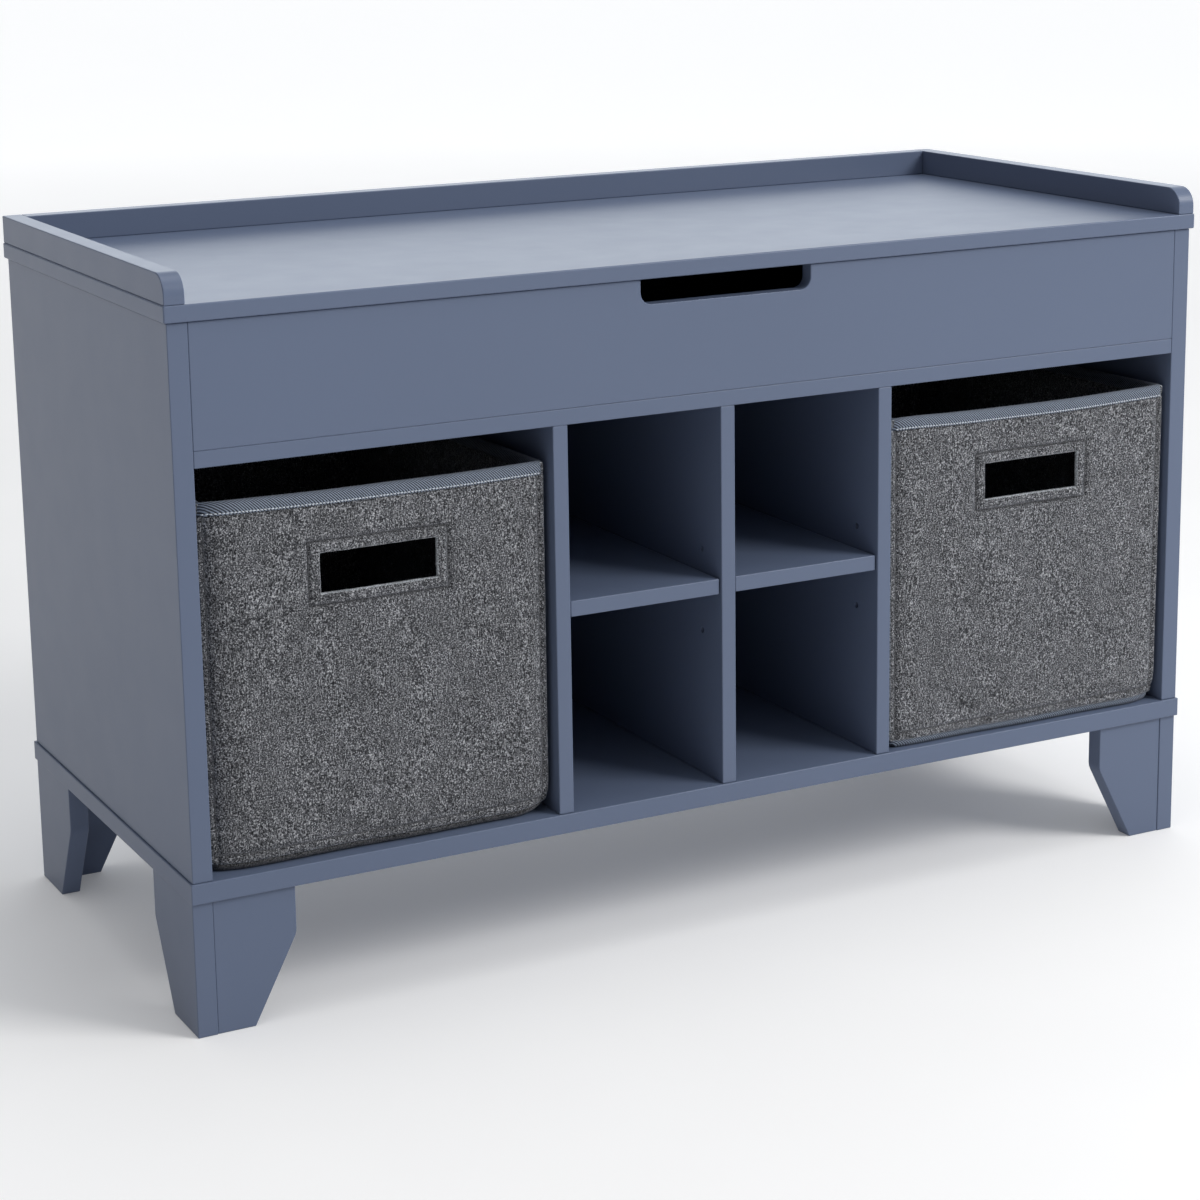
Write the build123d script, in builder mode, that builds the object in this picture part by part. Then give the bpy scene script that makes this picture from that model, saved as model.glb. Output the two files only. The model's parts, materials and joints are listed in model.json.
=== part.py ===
"""Hallway storage bench: lift-up lid with a gallery, two felt baskets, four shoe cubbies and tapered legs.

Millimetres. +X to the right, +Y to the back, +Z up. The origin is on the floor, mid footprint.
"""

import os
from math import hypot

from build123d import *

os.makedirs("parts", exist_ok=True)

# Boards
THICK = 15.0  # base, sides, lid rails and leg boards
THIN = 12.0  # lid, compartment floor and front, partitions and shelves
BACK_THICK = 3.0
ARRIS = 0.8  # eased edges of every painted board
LID_ARRIS = 1.2

# Heights of the boards above the floor
LEG_HEIGHT = 100.0
BAY_HEIGHT = 294.0
COMPARTMENT_HEIGHT = 89.0
RAIL_HEIGHT = 21.0
BASE_TOP = LEG_HEIGHT + THICK
DECK_UNDER = BASE_TOP + BAY_HEIGHT
DECK_TOP = DECK_UNDER + THIN
LID_GAP = 0.4  # the closed lid rests on thin pads, clear of the boards
LID_UNDER = DECK_TOP + COMPARTMENT_HEIGHT
CARCASS_TOP = LID_UNDER - LID_GAP
LID_TOP = LID_UNDER + THIN
RAIL_TOP = LID_TOP + RAIL_HEIGHT

# Depths. The hinge knuckles are the rearmost thing: the footprint's middle is between them and the lid's front
LID_DEPTH = 378.0
KNUCKLE_RADIUS = 3.0
LID_FRONT = -(LID_DEPTH + 2 * KNUCKLE_RADIUS) / 2
LID_BACK = LID_FRONT + LID_DEPTH
BASE_FRONT = LID_FRONT + 1.5
CARCASS_FRONT = LID_FRONT + 3.0
LEG_FRONT = LID_FRONT + 4.5
CARCASS_BACK = LID_BACK - BACK_THICK
LEG_BACK = LID_BACK - 3.0

# Half widths
LID_HALF = 435.0
BASE_HALF = 434.0
LEG_HALF = 433.0
SIDE_OUT = 432.5
SIDE_IN = SIDE_OUT - THICK
PARTITION_X = 140.0  # middle of the left and right partitions
HALF_THIN = THIN / 2

# Lid gallery
RAIL_INSET = 0.7
RAIL_NOSE = 15.0  # radius of the side rails' front top corner
RAIL_IN = LID_HALF - RAIL_INSET - THICK

# Finger slot in the top edge of the front panel
SLOT_WIDTH = 145.0
SLOT_DEPTH = 19.0
SLOT_CORNER = 9.0

# Legs: each is an L of two boards that taper on their free edge
SIDE_BOARD_WIDTH = 84.0
SIDE_BOARD_FOOT = 49.5
FACE_BOARD_WIDTH = 62.0
FACE_BOARD_FOOT = 28.5
TAPER_START = 64.0  # height where the taper begins
TAPER_ROUND = 16.0
FACE_RECESS = 0.6  # how far the face board lies behind the side board's edge
BLOCK_SIDE = 28.0
BLOCK_HEIGHT = 48.0
BLOCK_CHAMFER = 2.0
BLOCK_SCREW_OFFSET = 7.0
SIDE_SCREW_HEIGHTS = (62.0, 84.0)
FACE_SCREW_HEIGHTS = (72.0, 94.0)
SIDE_DOWEL_IN = 62.0  # from the leg's outer end
FACE_DOWEL_IN = 44.0  # from the side board
LEG_DOWEL_SINK = 18.0

# Shelves on pegs
PEG_PITCH = 32.0
PEG_HEIGHTS = [230.0, 230.0 + PEG_PITCH, 230.0 + 2 * PEG_PITCH]
PEG_HOLE_RADIUS = 2.5
PEG_HOLE_DEPTH = 8.0
PEG_ROWS = [CARCASS_FRONT + 30.0, CARCASS_FRONT + 318.0]
PEG_STUB_RADIUS = 2.4
PEG_SINK = 5.5
PEG_REACH = 8.0
COLLAR_RADIUS = 3.6
COLLAR_THICK = 0.7
SHELF_GAP = 1.0
SHELF_LIFT = 0.2
SHELF_DEPTH = 350.0
SHELF_FRONT = CARCASS_FRONT + 2.0
SHELF_UNDER = PEG_HEIGHTS[1] + PEG_STUB_RADIUS + SHELF_LIFT

# Rear rail that carries the hinges
HINGE_RAIL_HEIGHT = 70.0
HINGE_RAIL_FRONT = CARCASS_BACK - THIN

# Butt hinges, screwed to the back
HINGE_X = 280.0
LEAF_LENGTH = 60.0
LEAF_WIDTH = 25.0
LEAF_THICK = 1.5
LEAF_CORNER = 4.0
KNUCKLES = 5
KNUCKLE_LENGTH = LEAF_LENGTH / KNUCKLES
KNUCKLE_GAP = 0.2
PIN_RADIUS = 1.5
PIN_CLEARANCE = 0.05
PIN_HEAD_RADIUS = 2.6
PIN_HEAD_THICK = 1.0
AXIS_Y = LID_BACK + KNUCKLE_RADIUS
AXIS_Z = LID_UNDER
LEAF_SCREWS = [(-22.0, 19.0), (0.0, 9.0), (22.0, 19.0)]  # along the leaf, away from the axis

# Folding lid stays: a parallelogram of hinge axis, lid pivot, elbow and side pivot
SIDE_PIVOT = (-55.0, -50.0)  # y and z from the hinge axis
LID_PIVOT = (-150.0, -12.0)
ARM_WIDTH = 14.0
ARM_THICK = 2.0
ARM_GAP = 0.5
STUD_RADIUS = 3.0
STUD_CLEARANCE = 0.1
STUD_HEAD_RADIUS = 4.6
STUD_HEAD_THICK = 1.2
BRACKET_THICK = 1.5
BRACKET_CORNER = 4.0
HEAD_GAP = 0.3
LOWER_ARM_OUT = SIDE_IN - BRACKET_THICK - 0.8
UPPER_ARM_OUT = LOWER_ARM_OUT - ARM_THICK - ARM_GAP
LID_TAB_IN = UPPER_ARM_OUT + ARM_GAP

# Fasteners
SCREW_CLEARANCE = 0.05
DOWEL_RADIUS = 4.0
DOWEL_LENGTH = 28.0
DOWEL_HOLE = DOWEL_RADIUS + SCREW_CLEARANCE
CAM_RADIUS = 7.5
CAM_DEPTH = 9.0
CAM_SETBACK = 24.0  # from the board's end to the middle of the cam
CAM_BOLT_RADIUS = 3.0
CAM_BOLT_SINK = 9.0

# Felt baskets
BASKET_WIDTH = 264.0
BASKET_HEIGHT = 268.0
BASKET_DEPTH = 348.0
FELT = 4.0
FELT_ARRIS = 1.0
BASKET_LIFT = 0.3
BASKET_X = (SIDE_IN + PARTITION_X + HALF_THIN) / 2
BASKET_FRONTS = {"left": LID_FRONT + 9.0, "right": LID_FRONT + 6.0}
HANDLE_WIDTH = 90.0
HANDLE_HEIGHT = 29.5
HANDLE_MIDDLE = 208.0  # above the basket's foot
HANDLE_CORNER = 2.0
BINDING_DROP = 10.0
BINDING_THICK = 0.8
STIFFENER_THICK = 3.0
STIFFENER_GAP = 2.0

SIDES = {"left": -1, "right": 1}
ENDS = {"front": -1, "back": 1}


# ---------------------------------------------------------------- helpers used inside a BuildPart block


def board(x_span, y_span, z_span, arris=ARRIS):
    """Adds a rectangular board between the spans, all its edges eased."""
    spans = (sorted(x_span), sorted(y_span), sorted(z_span))
    middle = tuple((low + high) / 2 for low, high in spans)
    with Locations(middle):
        Box(*(high - low for low, high in spans))
    if arris:
        fillet(BuildPart._get_context(log=False).edges(), arris)


def drill(points, direction, radius, depth):
    """Bores a round hole from each point along the direction."""
    for point in points:
        with Locations(Plane(origin=point, z_dir=direction).location):
            Cylinder(radius, depth, align=(Align.CENTER, Align.CENTER, Align.MIN), mode=Mode.SUBTRACT)


def rod(points, direction, radius, length):
    """Adds a round bar from each point along the direction."""
    for point in points:
        with Locations(Plane(origin=point, z_dir=direction).location):
            Cylinder(radius, length, align=(Align.CENTER, Align.CENTER, Align.MIN))


def sink(points, direction, screw, clearance=0.0, mode=Mode.SUBTRACT):
    """Cuts, or adds, the shape of a countersunk screw whose head is flush at each point."""
    head, shank, length = screw
    slope = head - shank
    for point in points:
        with Locations(Plane(origin=point, z_dir=direction).location):
            Cone(
                head + clearance,
                shank + clearance,
                slope,
                align=(Align.CENTER, Align.CENTER, Align.MIN),
                mode=mode,
            )
            Cylinder(
                shank + clearance,
                length + clearance,
                align=(Align.CENTER, Align.CENTER, Align.MIN),
                mode=mode,
            )


def cross_slot(points, direction, recess):
    """Cuts a cross recess into the head at each point."""
    reach, width, depth = recess
    for point in points:
        with Locations(Plane(origin=point, z_dir=direction).location):
            Box(reach, width, depth, align=(Align.CENTER, Align.CENTER, Align.MIN), mode=Mode.SUBTRACT)
            Box(width, reach, depth, align=(Align.CENTER, Align.CENTER, Align.MIN), mode=Mode.SUBTRACT)


def save(label, builder):
    """Labels the finished piece and writes it."""
    builder.part.label = label
    export_step(builder.part, f"parts/{label}.step")


# ---------------------------------------------------------------- where the fasteners go

# Countersunk screws: head radius, shank radius, length
BASE_SCREW = (5.0, 2.5, 45.0)
RAIL_SCREW = (3.8, 1.9, 28.0)
HARDWARE_SCREW = (3.2, 1.5, 11.0)
LEG_BOLT = (6.0, 3.0, 48.0)
BLOCK_SCREW = (3.4, 1.6, 38.0)
BACK_SCREW_SHANK = 1.5
BACK_SCREW_HEAD = 3.5
BACK_SCREW_LENGTH = 10.0
BACK_SCREW_DOME = 1.4

# Cross recesses: reach, width, depth
CAM_RECESS = (7.5, 1.4, 2.0)
BASE_RECESS = (5.0, 1.1, 1.8)
RAIL_RECESS = (4.0, 0.9, 1.3)
HARDWARE_RECESS = (3.4, 0.8, 1.2)
BOLT_RECESS = (6.0, 1.2, 2.2)
BLOCK_RECESS = (3.6, 0.9, 1.3)
BACK_RECESS = (4.0, 0.9, 0.9)

# Places along the boards, from the carcass's front edge unless said otherwise
ROW_PLACES = (45.0, 330.0)
BASE_SCREW_IN = 30.0  # from the rows towards the middle
CAM_IN = 50.0
SIDE_DOWEL_RISE = 4.0  # of the dowel's middle above the base
DECK_DOWEL_SINK = 9.0  # from the side's inner face to the dowel's end
EDGE_DOWEL_SINK = 8.0
FRONT_DOWEL_X = (-300.0, 0.0, 300.0)
FRONT_CAM_RISE = 30.0  # above the deck
HINGE_CAM_DROP = 35.0  # below the lid
SIDE_RAIL_SCREWS = (60.0, 190.0, 320.0)  # from the lid's front edge
BACK_RAIL_SCREWS = (-360.0, -120.0, 120.0, 360.0)
BACK_SIDE_HEIGHTS = (140.0, 250.0, 360.0, 470.0)
BACK_DECK_SCREWS = (-360.0, -210.0, 70.0, 210.0, 360.0)
BACK_PARTITION_HEIGHTS = (180.0, 330.0)
BACK_TOP_SCREWS = (-360.0, -120.0, 120.0, 360.0)
BACK_TOP_DROP = 50.0
BRACKET_SCREWS = (-16.0, 16.0)  # up and down from the side pivot
FLANGE_SCREWS = (-9.0, 9.0)  # along the flange from the lid pivot
FLANGE_SCREW_SET = 2.0

UP, DOWN = (0, 0, 1), (0, 0, -1)
TO_BACK, TO_FRONT = (0, 1, 0), (0, -1, 0)
TO_LEFT, TO_RIGHT = (-1, 0, 0), (1, 0, 0)

SIDE_MIDDLE = (SIDE_IN + SIDE_OUT) / 2
ROW_FRONT, ROW_BACK = (CARCASS_FRONT + place for place in ROW_PLACES)
UPRIGHTS = (-SIDE_MIDDLE, -PARTITION_X, 0.0, PARTITION_X, SIDE_MIDDLE)
PARTITIONS = UPRIGHTS[1:-1]
DECK_MIDDLE = (DECK_UNDER + DECK_TOP) / 2
ROWS = (ROW_FRONT, ROW_BACK)

base_rows = (ROW_FRONT + BASE_SCREW_IN, ROW_BACK - BASE_SCREW_IN)
base_screw_points = [(x, y, LEG_HEIGHT) for x in UPRIGHTS for y in base_rows]
side_dowel_foot = BASE_TOP - DOWEL_LENGTH / 2 + SIDE_DOWEL_RISE
side_dowel_points = [(s * SIDE_MIDDLE, y, side_dowel_foot) for s in (-1, 1) for y in ROWS]
deck_dowel_points = [(s * (SIDE_IN + DECK_DOWEL_SINK), y, DECK_MIDDLE) for s in (-1, 1) for y in ROWS]
partition_dowel_points = [(x, y, DECK_UNDER + EDGE_DOWEL_SINK) for x in PARTITIONS for y in ROWS]
front_dowel_points = [(x, CARCASS_FRONT + HALF_THIN, DECK_TOP - EDGE_DOWEL_SINK) for x in FRONT_DOWEL_X]

cam_x = SIDE_IN - CAM_SETBACK
deck_cam_points = [(s * cam_x, y, DECK_UNDER) for s in (-1, 1) for y in (ROW_FRONT + CAM_IN, ROW_BACK - CAM_IN)]
front_cam_points = [(s * cam_x, CARCASS_FRONT + THIN, DECK_TOP + FRONT_CAM_RISE) for s in (-1, 1)]
hinge_rail_cam_points = [(s * cam_x, HINGE_RAIL_FRONT, LID_UNDER - HINGE_CAM_DROP) for s in (-1, 1)]

side_rail_x = RAIL_IN + THICK / 2
rail_screw_points = [(s * side_rail_x, LID_FRONT + d, LID_UNDER) for s in (-1, 1) for d in SIDE_RAIL_SCREWS]
rail_screw_points += [(x, LID_BACK - THICK / 2, LID_UNDER) for x in BACK_RAIL_SCREWS]

back_screw_points = [(s * SIDE_MIDDLE, LID_BACK, z) for s in (-1, 1) for z in BACK_SIDE_HEIGHTS]
back_screw_points += [(x, LID_BACK, DECK_MIDDLE) for x in BACK_DECK_SCREWS]
back_screw_points += [(x, LID_BACK, z) for x in PARTITIONS for z in BACK_PARTITION_HEIGHTS]
back_screw_points += [(x, LID_BACK, LID_UNDER - BACK_TOP_DROP) for x in BACK_TOP_SCREWS]

side_pivot = (AXIS_Y + SIDE_PIVOT[0], AXIS_Z + SIDE_PIVOT[1])
lid_pivot = (AXIS_Y + LID_PIVOT[0], AXIS_Z + LID_PIVOT[1])
elbow = (lid_pivot[0] + SIDE_PIVOT[0], lid_pivot[1] + SIDE_PIVOT[1])
SIDE_BRACKET = (24.0, 46.0)  # along y, along z
LID_FLANGE = (24.0, 30.0)  # along x, along y
bracket_x = SIDE_IN - BRACKET_THICK
side_bracket_screws = [(s * bracket_x, side_pivot[0], side_pivot[1] + d) for s in (-1, 1) for d in BRACKET_SCREWS]
flange_x = LID_TAB_IN - LID_FLANGE[0] / 2 + FLANGE_SCREW_SET
flange_z = LID_UNDER - BRACKET_THICK
lid_flange_screws = [(s * flange_x, lid_pivot[0] + d, flange_z) for s in (-1, 1) for d in FLANGE_SCREWS]
leaf_screw_points = {
    leaf: [(s * HINGE_X + x, LID_BACK + LEAF_THICK, AXIS_Z + swing * z) for s in (-1, 1) for x, z in LEAF_SCREWS]
    for leaf, swing in (("fixed", -1), ("lid", 1))
}


def block_middle(side, end):
    """Middle of the corner block behind one leg, seen from above."""
    outer_y = LEG_FRONT if end < 0 else LEG_BACK
    x = side * (LEG_HALF - THICK - BLOCK_SIDE / 2)
    y = outer_y - end * (THICK + FACE_RECESS + BLOCK_SIDE / 2)
    return x, y


def leg_side_dowel(side, end):
    """Foot of the dowel between the base and a leg's side board."""
    outer_y = LEG_FRONT if end < 0 else LEG_BACK
    return (side * (LEG_HALF - THICK / 2), outer_y - end * SIDE_DOWEL_IN, LEG_HEIGHT - LEG_DOWEL_SINK)


def leg_face_dowel(side, end):
    """Foot of the dowel between the base and a leg's front or back board."""
    outer_y = LEG_FRONT if end < 0 else LEG_BACK
    x = side * (LEG_HALF - THICK - FACE_DOWEL_IN)
    return (x, outer_y - end * (FACE_RECESS + THICK / 2), LEG_HEIGHT - LEG_DOWEL_SINK)


def block_screw_rows(side, end):
    """Heads of the screws from one corner block into its leg's side board, then into its face board."""
    x, y = block_middle(side, end)
    side_x, side_y = x - side * BLOCK_SIDE / 2, y - end * BLOCK_SCREW_OFFSET
    face_x, face_y = x - side * BLOCK_SCREW_OFFSET, y - end * BLOCK_SIDE / 2
    return [(side_x, side_y, z) for z in SIDE_SCREW_HEIGHTS], [(face_x, face_y, z) for z in FACE_SCREW_HEIGHTS]


corners = [(s, e) for s in (-1, 1) for e in (-1, 1)]
leg_bolt_points = [(*block_middle(s, e), BASE_TOP) for s, e in corners]
leg_dowel_points = [leg_side_dowel(s, e) for s, e in corners] + [leg_face_dowel(s, e) for s, e in corners]
block_screws = []
for s, e in corners:
    side_row, face_row = block_screw_rows(s, e)
    block_screws += [(side_row, (s, 0, 0)), (face_row, (0, e, 0))]

cam_groups = [(deck_cam_points, UP), (front_cam_points, TO_FRONT), (hinge_rail_cam_points, TO_BACK)]
cam_bolt_ends = [
    (x + (CAM_SETBACK if x > 0 else -CAM_SETBACK), y + into[1] * CAM_DEPTH / 2, z + into[2] * CAM_DEPTH / 2)
    for points, into in cam_groups
    for x, y, z in points
]

# ---------------------------------------------------------------- carcass

with BuildPart() as base_panel:
    board((-BASE_HALF, BASE_HALF), (BASE_FRONT, LID_BACK), (LEG_HEIGHT, BASE_TOP))
    sink(base_screw_points, UP, BASE_SCREW, SCREW_CLEARANCE)
    drill(side_dowel_points, UP, DOWEL_HOLE, DOWEL_LENGTH)
    sink(leg_bolt_points, DOWN, LEG_BOLT, SCREW_CLEARANCE)
    drill(leg_dowel_points, UP, DOWEL_HOLE, DOWEL_LENGTH)
save("base_panel", base_panel)

for name, side in SIDES.items():
    inward = (-side, 0, 0)
    outward = (side, 0, 0)
    with BuildPart() as side_panel:
        board((side * SIDE_IN, side * SIDE_OUT), (CARCASS_FRONT, CARCASS_BACK), (BASE_TOP, CARCASS_TOP))
        sink([p for p in base_screw_points if p[0] * side > SIDE_IN], UP, BASE_SCREW, SCREW_CLEARANCE)
        drill([p for p in side_dowel_points if p[0] * side > 0], UP, DOWEL_HOLE, DOWEL_LENGTH)
        drill([p for p in deck_dowel_points if p[0] * side > 0], inward, DOWEL_HOLE, DOWEL_LENGTH)
        bolts = [(side * SIDE_IN, y, z + CAM_DEPTH / 2) for x, y, z in deck_cam_points if x * side > 0]
        bolts += [(side * SIDE_IN, y - CAM_DEPTH / 2, z) for x, y, z in front_cam_points if x * side > 0]
        bolts += [(side * SIDE_IN, y + CAM_DEPTH / 2, z) for x, y, z in hinge_rail_cam_points if x * side > 0]
        drill(bolts, outward, CAM_BOLT_RADIUS + SCREW_CLEARANCE, CAM_BOLT_SINK)
        sink([p for p in side_bracket_screws if p[0] * side > 0], outward, HARDWARE_SCREW, SCREW_CLEARANCE)
        back_holes = [(x, CARCASS_BACK, z) for x, y, z in back_screw_points if x * side > SIDE_IN]
        drill(back_holes, TO_FRONT, BACK_SCREW_SHANK + SCREW_CLEARANCE, BACK_SCREW_LENGTH)
    save(f"{name}_side_panel", side_panel)

with BuildPart() as deck_panel:
    board((-SIDE_IN, SIDE_IN), (CARCASS_FRONT, CARCASS_BACK), (DECK_UNDER, DECK_TOP))
    for side in SIDES.values():
        drill([p for p in deck_dowel_points if p[0] * side > 0], (-side, 0, 0), DOWEL_HOLE, DOWEL_LENGTH)
        bores = [(side * SIDE_IN, y, z + CAM_DEPTH / 2) for x, y, z in deck_cam_points if x * side > 0]
        drill(bores, (-side, 0, 0), CAM_BOLT_RADIUS + SCREW_CLEARANCE, CAM_SETBACK)
    drill(partition_dowel_points, DOWN, DOWEL_HOLE, DOWEL_LENGTH)
    drill(front_dowel_points, UP, DOWEL_HOLE, DOWEL_LENGTH)
    drill(deck_cam_points, UP, CAM_RADIUS + SCREW_CLEARANCE, CAM_DEPTH)
    back_holes = [(x, CARCASS_BACK, z) for x, y, z in back_screw_points if DECK_UNDER < z < DECK_TOP]
    drill(back_holes, TO_FRONT, BACK_SCREW_SHANK + SCREW_CLEARANCE, BACK_SCREW_LENGTH)
save("deck_panel", deck_panel)

with BuildPart() as front_panel:
    board((-SIDE_IN, SIDE_IN), (CARCASS_FRONT, CARCASS_FRONT + THIN), (DECK_TOP, CARCASS_TOP))
    with BuildSketch(Plane.XZ.offset(-CARCASS_FRONT)):
        with Locations((0, LID_UNDER)):
            slot = Rectangle(SLOT_WIDTH, 2 * SLOT_DEPTH)
        fillet(slot.vertices().group_by(Axis.Y)[0], SLOT_CORNER)
    extrude(amount=-THIN, mode=Mode.SUBTRACT)
    slot_edges = front_panel.edges().filter_by_position(Axis.Z, LID_UNDER - SLOT_DEPTH - 0.1, LID_UNDER)
    slot_edges = slot_edges.filter_by_position(Axis.X, -SLOT_WIDTH / 2 - 0.1, SLOT_WIDTH / 2 + 0.1)
    front_face_edges = slot_edges.filter_by_position(Axis.Y, CARCASS_FRONT - 0.1, CARCASS_FRONT + 0.1)
    fillet(front_face_edges, ARRIS)
    drill(front_dowel_points, UP, DOWEL_HOLE, DOWEL_LENGTH)
    for side in SIDES.values():
        bores = [(side * SIDE_IN, y - CAM_DEPTH / 2, z) for x, y, z in front_cam_points if x * side > 0]
        drill(bores, (-side, 0, 0), CAM_BOLT_RADIUS + SCREW_CLEARANCE, CAM_SETBACK)
    drill(front_cam_points, TO_FRONT, CAM_RADIUS + SCREW_CLEARANCE, CAM_DEPTH)
save("front_panel", front_panel)

PARTITIONS = {"left_partition": -PARTITION_X, "centre_partition": 0.0, "right_partition": PARTITION_X}
for name, middle in PARTITIONS.items():
    with BuildPart() as partition:
        board((middle - HALF_THIN, middle + HALF_THIN), (CARCASS_FRONT, CARCASS_BACK), (BASE_TOP, DECK_UNDER))
        sink([p for p in base_screw_points if p[0] == middle], UP, BASE_SCREW, SCREW_CLEARANCE)
        drill([p for p in partition_dowel_points if p[0] == middle], DOWN, DOWEL_HOLE, DOWEL_LENGTH)
        back_holes = [(x, CARCASS_BACK, z) for x, y, z in back_screw_points if x == middle and z < DECK_UNDER]
        drill(back_holes, TO_FRONT, BACK_SCREW_SHANK + SCREW_CLEARANCE, BACK_SCREW_LENGTH)
        face = middle + HALF_THIN if middle < 0 else middle - HALF_THIN
        peg_depth = THIN if middle == 0 else PEG_HOLE_DEPTH
        peg_holes = [(face, y, z) for y in PEG_ROWS for z in PEG_HEIGHTS]
        drill(peg_holes, TO_LEFT if middle < 0 else TO_RIGHT, PEG_HOLE_RADIUS, peg_depth)
    save(name, partition)

with BuildPart() as back_panel:
    board((-SIDE_OUT + 1, SIDE_OUT - 1), (CARCASS_BACK, LID_BACK), (BASE_TOP, CARCASS_TOP), arris=0)
    drill(back_screw_points, TO_FRONT, BACK_SCREW_SHANK + SCREW_CLEARANCE, BACK_THICK)
    sink(leaf_screw_points["fixed"], TO_FRONT, HARDWARE_SCREW, SCREW_CLEARANCE)
save("back_panel", back_panel)

with BuildPart() as hinge_rail:
    board((-SIDE_IN, SIDE_IN), (HINGE_RAIL_FRONT, CARCASS_BACK), (LID_UNDER - HINGE_RAIL_HEIGHT, CARCASS_TOP))
    sink(leaf_screw_points["fixed"], TO_FRONT, HARDWARE_SCREW, SCREW_CLEARANCE)
    back_holes = [(x, CARCASS_BACK, z) for x, y, z in back_screw_points if z == LID_UNDER - 50]
    drill(back_holes, TO_FRONT, BACK_SCREW_SHANK + SCREW_CLEARANCE, BACK_SCREW_LENGTH)
    for side in SIDES.values():
        bores = [(side * SIDE_IN, y + CAM_DEPTH / 2, z) for x, y, z in hinge_rail_cam_points if x * side > 0]
        drill(bores, (-side, 0, 0), CAM_BOLT_RADIUS + SCREW_CLEARANCE, CAM_SETBACK)
    drill(hinge_rail_cam_points, TO_BACK, CAM_RADIUS + SCREW_CLEARANCE, CAM_DEPTH)
save("rear_hinge_rail", hinge_rail)

# ---------------------------------------------------------------- shelves and their pegs

for name, side in SIDES.items():
    bay = sorted((side * HALF_THIN, side * (PARTITION_X - HALF_THIN)))
    with BuildPart() as shelf:
        board(
            (bay[0] + SHELF_GAP, bay[1] - SHELF_GAP),
            (SHELF_FRONT, SHELF_FRONT + SHELF_DEPTH),
            (SHELF_UNDER, SHELF_UNDER + THIN),
        )
    save(f"{name}_shelf", shelf)

    with BuildPart() as pegs:
        for wall, inward in ((bay[0], 1), (bay[1], -1)):
            collars = [(wall, y, PEG_HEIGHTS[1]) for y in PEG_ROWS]
            roots = [(wall - inward * PEG_SINK, y, z) for x, y, z in collars]
            rod(roots, (inward, 0, 0), PEG_STUB_RADIUS, PEG_SINK + PEG_REACH)
            rod(collars, (inward, 0, 0), COLLAR_RADIUS, COLLAR_THICK)
    save(f"{name}_shelf_pegs", pegs)

# ---------------------------------------------------------------- legs

for side_name, side in SIDES.items():
    for end_name, end in ENDS.items():
        outer_y = LEG_FRONT if end < 0 else LEG_BACK
        face_y = outer_y - end * FACE_RECESS
        inner_x = side * (LEG_HALF - THICK)
        side_screws, face_screws = block_screw_rows(side, end)
        boards = {
            "side": (
                Plane(origin=(inner_x, outer_y, 0), x_dir=(0, -end, 0), z_dir=(-end, 0, 0)),
                -side * end * THICK,
                (SIDE_BOARD_WIDTH, SIDE_BOARD_FOOT),
                leg_side_dowel(side, end),
                (side_screws, (side, 0, 0)),
            ),
            end_name: (
                Plane(origin=(inner_x, face_y, 0), x_dir=(-side, 0, 0), z_dir=(0, side, 0)),
                -side * end * THICK,
                (FACE_BOARD_WIDTH, FACE_BOARD_FOOT),
                leg_face_dowel(side, end),
                (face_screws, (0, end, 0)),
            ),
        }
        for board_name, (face, thickness, (width, foot), dowel, (screws, into)) in boards.items():
            with BuildPart() as leg_board:
                with BuildSketch(face) as outline:
                    with BuildLine():
                        top_edge = ((width, LEG_HEIGHT), (0, LEG_HEIGHT))
                        Polyline((0, 0), (foot, 0), (width, TAPER_START), *top_edge, close=True)
                    make_face()
                    by_height = outline.vertices().sort_by(lambda corner: abs(corner.Y - TAPER_START))
                    fillet(by_height[0], TAPER_ROUND)
                extrude(amount=thickness)
                fillet(leg_board.edges(), ARRIS)
                drill([dowel], UP, DOWEL_HOLE, DOWEL_LENGTH)
                sink(screws, into, BLOCK_SCREW, SCREW_CLEARANCE)
            save(f"{side_name}_{end_name}_leg_{board_name}_board", leg_board)

with BuildPart() as corner_blocks:
    for side in SIDES.values():
        for end in ENDS.values():
            with Locations((*block_middle(side, end), LEG_HEIGHT - BLOCK_HEIGHT / 2)):
                Box(BLOCK_SIDE, BLOCK_SIDE, BLOCK_HEIGHT)
    chamfer(corner_blocks.edges().filter_by(Axis.Z), BLOCK_CHAMFER)
    sink(leg_bolt_points, DOWN, LEG_BOLT, SCREW_CLEARANCE)
    for screws, into in block_screws:
        sink(screws, into, BLOCK_SCREW, SCREW_CLEARANCE)
save("leg_corner_blocks", corner_blocks)

# ---------------------------------------------------------------- lid

with BuildPart() as lid_panel:
    board((-LID_HALF, LID_HALF), (LID_FRONT, LID_BACK), (LID_UNDER, LID_TOP), arris=LID_ARRIS)
    sink(rail_screw_points, UP, RAIL_SCREW, SCREW_CLEARANCE)
    sink([p for p in leaf_screw_points["lid"] if p[2] < LID_TOP], TO_FRONT, HARDWARE_SCREW, SCREW_CLEARANCE)
    sink(lid_flange_screws, UP, HARDWARE_SCREW, SCREW_CLEARANCE)
save("lid_panel", lid_panel)

for name, side in SIDES.items():
    with BuildPart() as side_rail:
        board(
            (side * RAIL_IN, side * (RAIL_IN + THICK)),
            (LID_FRONT + RAIL_INSET, LID_BACK),
            (LID_TOP, RAIL_TOP),
            arris=0,
        )
        nose = side_rail.edges().filter_by(Axis.X).group_by(Axis.Y)[0].sort_by(Axis.Z)[-1]
        fillet(nose, RAIL_NOSE)
        fillet(side_rail.edges(), ARRIS)
        sink([p for p in rail_screw_points if p[0] * side > RAIL_IN], UP, RAIL_SCREW, SCREW_CLEARANCE)
    save(f"lid_{name}_rail", side_rail)

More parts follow.
